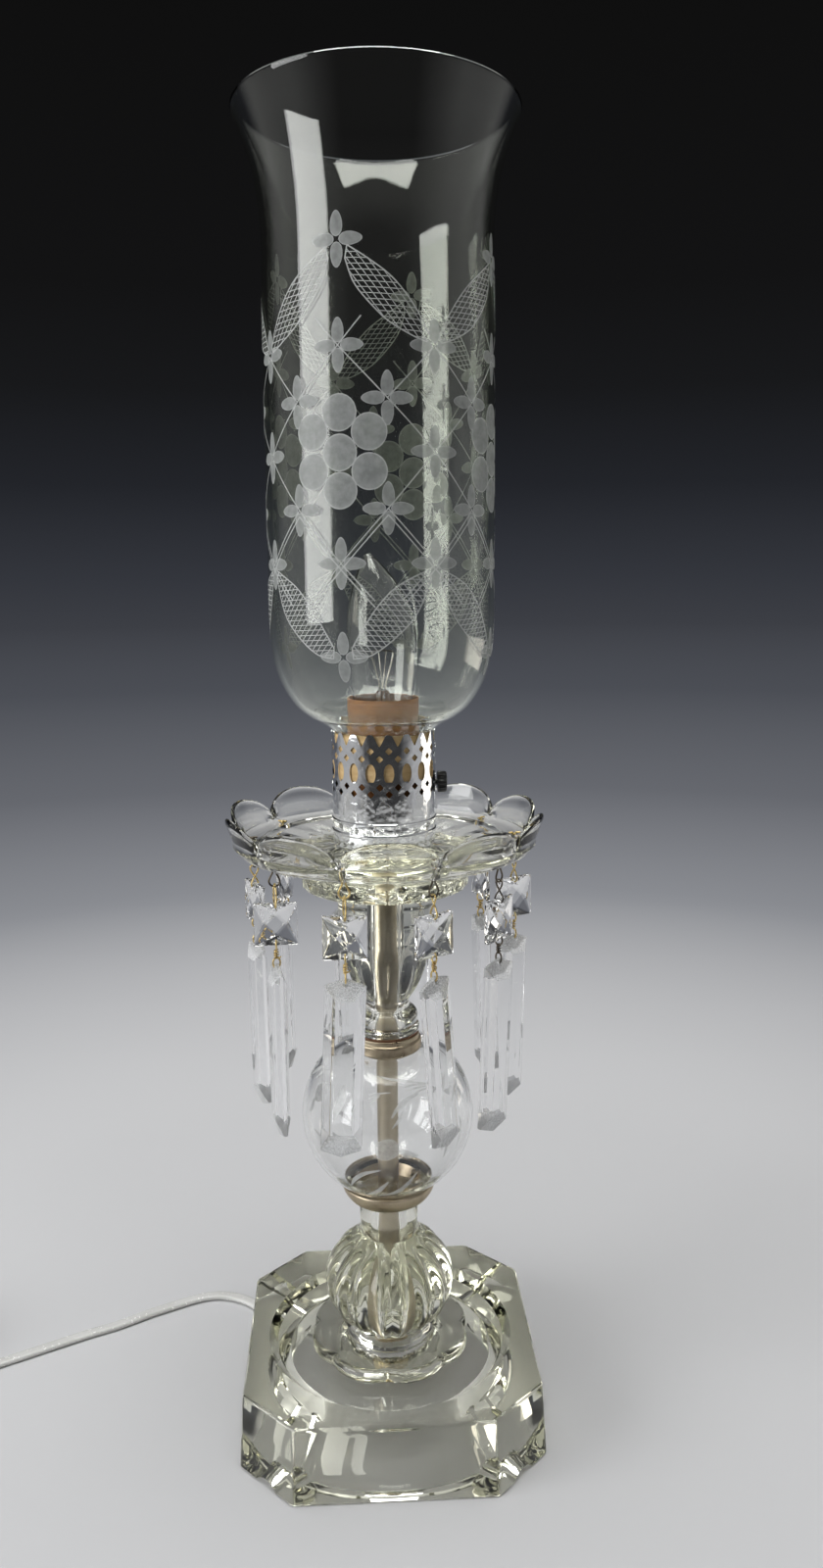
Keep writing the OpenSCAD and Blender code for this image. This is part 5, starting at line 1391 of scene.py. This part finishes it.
def lower_link(jewel_turn, prism_turn):
    """Eye through the jewel, a wrapped shank and an eye through the prism."""
    def eye(z, turn, flat=1.0):
        ring = [(0, EYE_R * flat * cos(a), z + EYE_R * sin(a)) for a in range(0, 360, 15)]
        return turned(tube(ring, WIRE_R - 0.03, 8, True), turn)

    high, low = JEWEL_LOW_Z - EYE_R, PRISM_HOLE_Z + EYE_R
    wrap_top, wrap_low = high - EYE_R + 0.5, low + EYE_R - 0.2
    wrap = [((0.62 + 0.25 * sin(180 * i / 66)) * cos(20 * i), (0.62 + 0.25 * sin(180 * i / 66)) * sin(20 * i),
             wrap_top + (wrap_low - wrap_top) * i / 66) for i in range(67)]
    tail = bent([wrap[-1], (0.9, 0.8, wrap_low + 0.3), (1.6, 1.2, wrap_low + 0.9)], 4)
    shank = [(0, 0, wrap_top + 0.2), (0, 0, (wrap_top + wrap_low) / 2), (0, 0, wrap_low - 0.2)]
    return joined([eye(high, jewel_turn, 0.8), eye(low, prism_turn, 0.7), tube(wrap + tail[1:], 0.3, 7),
                   tube(shank, WIRE_R - 0.05, 8)])


def drops():
    jewel, prism = jewel_shape(), prism_shape()
    for dark in (True, False):
        hooks = joined([moved(hook_shape(JEWEL_TURN[k]), at_drop(k)) for k in range(LOBES)
                        if (k in DARK_HOOKS) == dark])
        name = "hooks_dark" if dark else "hooks_gilt"
        piece(name, *hooks, DARK if dark else GILT, "lamp", ("hooks",) if dark else (), "wire", 60)
    stand = Matrix.Rotation(math.radians(90), 4, "X")
    for k in range(LOBES):
        turn = Matrix.Rotation(math.radians(JEWEL_TURN[k]), 4, "Z")
        part = moved(jewel, at_drop(k, Matrix.Translation((0, 0, JEWEL_Z)), turn, stand))
        piece(f"cut_jewel_{k}", *part, CUT, f"jewel_{k}", (f"jewel_{k}",), "cut_crystal", 0)
        part = moved(upper_link(JEWEL_TURN[k]), at_drop(k))
        piece(f"upper_wire_{k}", *part, DARK if k in DARK_UPPER else GILT, f"jewel_{k}", (f"links_{k}",), "wire", 60)
        part = moved(lower_link(JEWEL_TURN[k], PRISM_TURN[k]), at_drop(k))
        piece(f"lower_wire_{k}", *part, DARK if k in DARK_LOWER else GILT, f"jewel_{k}", (), "wire", 60)
        turn = Matrix.Rotation(math.radians(PRISM_TURN[k]), 4, "Z")
        lean = Matrix.Rotation(math.radians(PRISM_LEAN[k]), 4, "Y")
        hang = at_drop(k, Matrix.Translation((0, 0, PRISM_HOLE_Z)), turn, lean, stand)
        cut = piece(f"cut_prism_{k}", *moved(prism, hang), (CUT, GROUND), f"prism_{k}", (f"prism_{k}",),
                    "cut_crystal", 0)
        grind_ends(cut, hang)


# Etched pattern of the shade: four repeats of flowers, trellis, discs and hatched leaves
REPEAT, APEX = 90, -20.5
FLOWER_ROWS = [(0, 504.8), (0, 468), (45, 468), (22.5, 449), (-22.5, 449), (45, 430), (22.5, 409), (-22.5, 409),
               (0, 388.7), (45, 388.7), (0, 353)]
DISCS = [(0, 444.1), (0, 429.6), (0, 415.7), (-14, 437.6), (-14, 423.0), (14, 437.0), (14, 422.6)]
DISC_R = 6.9
TRELLIS = [((0, 468), (22.5, 449)), ((45, 468), (22.5, 449)), ((22.5, 449), (45, 430)), ((45, 430), (22.5, 409)),
           ((22.5, 409), (0, 388.7)), ((22.5, 409), (45, 388.7)), ((0, 468), (11, 478)), ((45, 388.7), (29, 375)),
           ((0, 388.7), (16, 374.5))]
TOP_LEAF = ([(5, 502.5), (14, 497.8), (24.5, 491.6), (33, 484), (39.5, 476), (42.5, 471)],
            [(4, 498), (7.5, 490.1), (13.5, 483.6), (23, 476.1), (34, 471.2), (41, 469.2)])
LOW_LEAF = ([(41, 386), (27, 380.4), (17.6, 373), (9.7, 363.6), (4.5, 356.5)],
            [(43, 383), (36, 370), (26.7, 361.6), (14.2, 354), (5, 352.4)])
LINE_W, HATCH_W, HATCH_GAP = 0.5, 0.32, 2.0
LIFT, LINE_LIFT = 0.04, 0.11
# Rings of each patch: scale towards the middle, weight of the painted rim highlight, lift
PATCH_RINGS = [(0.6, 0.3, 0.04), (0.92, 0.55, 0.01), (1.0, 1.0, 0.0)]


class Etching:
    """Thin frosted marks laid on a round glass surface, given as azimuth and height."""

    def __init__(self, radius):
        self.radius = radius
        self.verts = []
        self.faces = []
        self.rim_highlights = []

    def at(self, u, z, azimuth, height, lift=LIFT):
        """Point u mm to the right of and z mm above a place on the surface."""
        r = self.radius(height + z)
        return place(azimuth + math.degrees(u / r), r + lift, height + z)

    def patch(self, outline, azimuth, height):
        """Convex patch, raised slightly in its middle."""
        k = len(self.verts)
        u0 = sum(p[0] for p in outline) / len(outline)
        z0 = sum(p[1] for p in outline) / len(outline)
        n = len(outline)
        self.verts.append(self.at(u0, z0, azimuth, height, LIFT + 0.05))
        self.rim_highlights.append(0.0)
        for part, rim, lift in PATCH_RINGS:
            self.verts += [self.at(u0 + (u - u0) * part, z0 + (z - z0) * part, azimuth, height, LIFT + lift)
                           for u, z in outline]
            self.rim_highlights += [rim] * n
        for i in range(n):
            j = (i + 1) % n
            self.faces.append((k, k + 1 + i, k + 1 + j))
            for ring in range(len(PATCH_RINGS) - 1):
                inner, outer = k + 1 + ring * n, k + 1 + (ring + 1) * n
                self.faces.append((inner + i, outer + i, outer + j, inner + j))

    def line(self, points, width, azimuth=0, height=0, taper=False):
        """Ribbon along points given in mm from a place."""
        fine = []
        for (u0, z0), (u1, z1) in zip(points, points[1:]):
            steps = max(1, int(math.hypot(u1 - u0, z1 - z0) / 1.6))
            fine += [(u0 + (u1 - u0) * i / steps, z0 + (z1 - z0) * i / steps) for i in range(steps)]
        fine.append(points[-1])
        k = len(self.verts)
        n = len(fine)
        for i, (u, z) in enumerate(fine):
            a, b = fine[max(0, i - 1)], fine[min(n - 1, i + 1)]
            d = math.hypot(b[0] - a[0], b[1] - a[1]) or 1
            w = width / 2
            if taper:
                w *= 0.25 + 0.75 * math.sin(math.pi * i / (n - 1))
            for s in (-1, 1):
                self.verts.append(self.at(u - s * w * (b[1] - a[1]) / d, z + s * w * (b[0] - a[0]) / d,
                                          azimuth, height, LINE_LIFT))
                # Cut lines get nearly the full painted highlight
                self.rim_highlights.append(0.85)
        self.faces += [(k + 2 * i, k + 2 * i + 1, k + 2 * i + 3, k + 2 * i + 2) for i in range(n - 1)]

    def hatched(self, outline, slopes, azimuth, height):
        """Outline with parallel lines across it at each slope."""
        self.line(outline + outline[:1], LINE_W, azimuth, height)
        for slope in slopes:
            along = Vector((cos(slope), sin(slope)))
            side = Vector((-along.y, along.x))
            offs = [Vector(p).dot(side) for p in outline]
            s = min(offs) + HATCH_GAP * 0.7
            while s < max(offs):
                cuts = []
                for p, q in zip(outline, outline[1:] + outline[:1]):
                    a, b = Vector(p).dot(side) - s, Vector(q).dot(side) - s
                    if (a > 0) != (b > 0):
                        t = a / (a - b)
                        cuts.append((Vector(p) * (1 - t) + Vector(q) * t).dot(along))
                cuts.sort()
                for a, b in zip(cuts[::2], cuts[1::2]):
                    if b - a > 0.8:
                        self.line([tuple(along * a + side * s), tuple(along * b + side * s)], HATCH_W, azimuth, height)
                s += HATCH_GAP

    def lay(self, name, mat, body):
        """Makes the piece, with how near each point is to a cut's rim kept for its material's painted highlight."""
        ob = piece(name, self.verts, self.faces, mat, body, (), "shade_glass", 60, False)
        rim = ob.data.attributes.new("rim", "FLOAT", "POINT")
        rim.data.foreach_set("value", self.rim_highlights)


def etched_shade():
    marks = Etching(shade_r)
    mm_per_degree = math.radians(1) * 47.1

    def flat(points):
        return [(a * mm_per_degree, z - 430) for a, z in points]

    petal = [(2.4 * sin(a) * (1 + 0.18 * cos(a)), 5.4 - 4.5 * cos(a)) for a in range(0, 360, 24)]
    for m in range(4):
        apex = APEX + REPEAT * m
        for da, z in FLOWER_ROWS:
            for turn in (0, 90, 180, 270):
                outline = [(u * cos(turn) - v * sin(turn), u * sin(turn) + v * cos(turn)) for u, v in petal]
                marks.patch(outline, apex + da, z)
        for da, z in DISCS:
            marks.patch([(DISC_R * cos(a), DISC_R * sin(a)) for a in range(0, 360, 15)], apex + da, z)
        for side in (1, -1):
            for a, b in TRELLIS:
                line = [(side * u, v) for u, v in flat([a, b])]
                marks.line(line, LINE_W, apex, 430)
                if a[1] <= 409:
                    marks.line([(u, v - 2.4) for u, v in line], LINE_W, apex, 430)
            for upper, lower in (TOP_LEAF, LOW_LEAF):
                edge = bent([(u, v, 0) for u, v in flat(upper)], 4) + bent([(u, v, 0) for u, v in flat(lower)], 4)[::-1]
                outline = [(side * u, v) for u, v, _ in edge]
                marks.hatched(outline, (side * -3, side * -52), apex, 430)
    marks.lay("etched_pattern", FROST, "shade")


# Cut sprays of the globe, as azimuth and height: long strokes with their widths, then leaves
SPRAYS = (0, 120, 240)
STROKES = [(0.7, [(-17, 166.3), (-8, 167), (1, 167.2)]), (0.7, [(-16, 164.7), (-12, 165.7), (-7.4, 166.6)]),
           (0.7, [(-15.3, 162.7), (-11.6, 164.7), (-7, 166.3)]),
           (0.8, [(-10.3, 172.8), (-0.6, 171.8), (14, 170.7), (35, 168.1)]),
           (0.7, [(11, 168.7), (21, 169), (34, 168.1)]), (0.7, [(12.5, 167.3), (23, 167.9), (34, 167.5)]),
           (0.7, [(17, 165.8), (25.4, 166.8), (34.3, 167.1)]), (0.8, [(23, 164.2), (26.6, 163.2), (31.7, 162.4)]),
           (1.9, [(1, 158), (5.3, 161.5), (12.6, 164.3), (22.6, 165.9)]), (1.3, [(1.3, 154), (5.7, 157), (8.8, 160.4)]),
           (2.2, [(-31.3, 123.3), (-25.3, 128.4), (-17.5, 132.5), (-6.7, 134.8)]),
           (2.4, [(-22.8, 117), (-10.2, 121.6), (-1.7, 128.2)]),
           (2.4, [(-11.2, 118), (2.6, 120), (11, 124.7), (18, 132.2)]),
           (0.8, [(-88, 161.5), (-83.4, 166.3), (-73.4, 171.2)]), (0.8, [(-83.8, 164.4), (-77.5, 168.2), (-70, 171)]),
           (0.8, [(-74.3, 164.9), (-70.5, 167.7), (-64.2, 170.1)]),
           (4.0, [(80.5, 169), (82.2, 163), (79, 157), (72.3, 152)])]
LEAVES = [[(-9.6, 147.5), (-3, 149.5), (2.8, 148.9), (5.6, 145.3), (4.3, 142), (-1.5, 140), (-7.3, 140.3),
           (-9.9, 143.9)],
          [(5.1, 144), (8, 144.7), (12, 143.6), (18, 141), (13.6, 140), (9.3, 140.4)]]


def globe_r(z):
    return math.sqrt(GLOBE_R ** 2 - (z - GLOBE_Z) ** 2)


def cut_globe():
    marks = Etching(globe_r)

    def flat(points):
        return [(math.radians(a) * globe_r(z), z) for a, z in points]

    for spray in SPRAYS:
        for width, stroke in STROKES:
            curve = bent([(u, z, 0) for u, z in flat(stroke)], 4)
            marks.line([p[:2] for p in curve], width, spray, 0, True)
        for leaf in LEAVES:
            curve = bent([(u, z, 0) for u, z in flat(leaf)], 3, True)
            marks.patch([p[:2] for p in curve], spray, 0)
    marks.lay("globe_sprays", CUTS, "lamp")


base()
pedestal()
stem()
bobeche()
globe()
shade()
bulb()
stack_metal()
gallery()
card_sleeves()
socket()
knob()
drops()
etched_shade()
cut_globe()
for name, mat in (("plug_blades", BRASS), ("inner_lead", LEAD)):
    mesh = frame["nodes"][name].data
    for i in range(max(1, len(mesh.materials))):
        if i < len(mesh.materials):
            mesh.materials[i] = mat
        else:
            mesh.materials.append(mat)
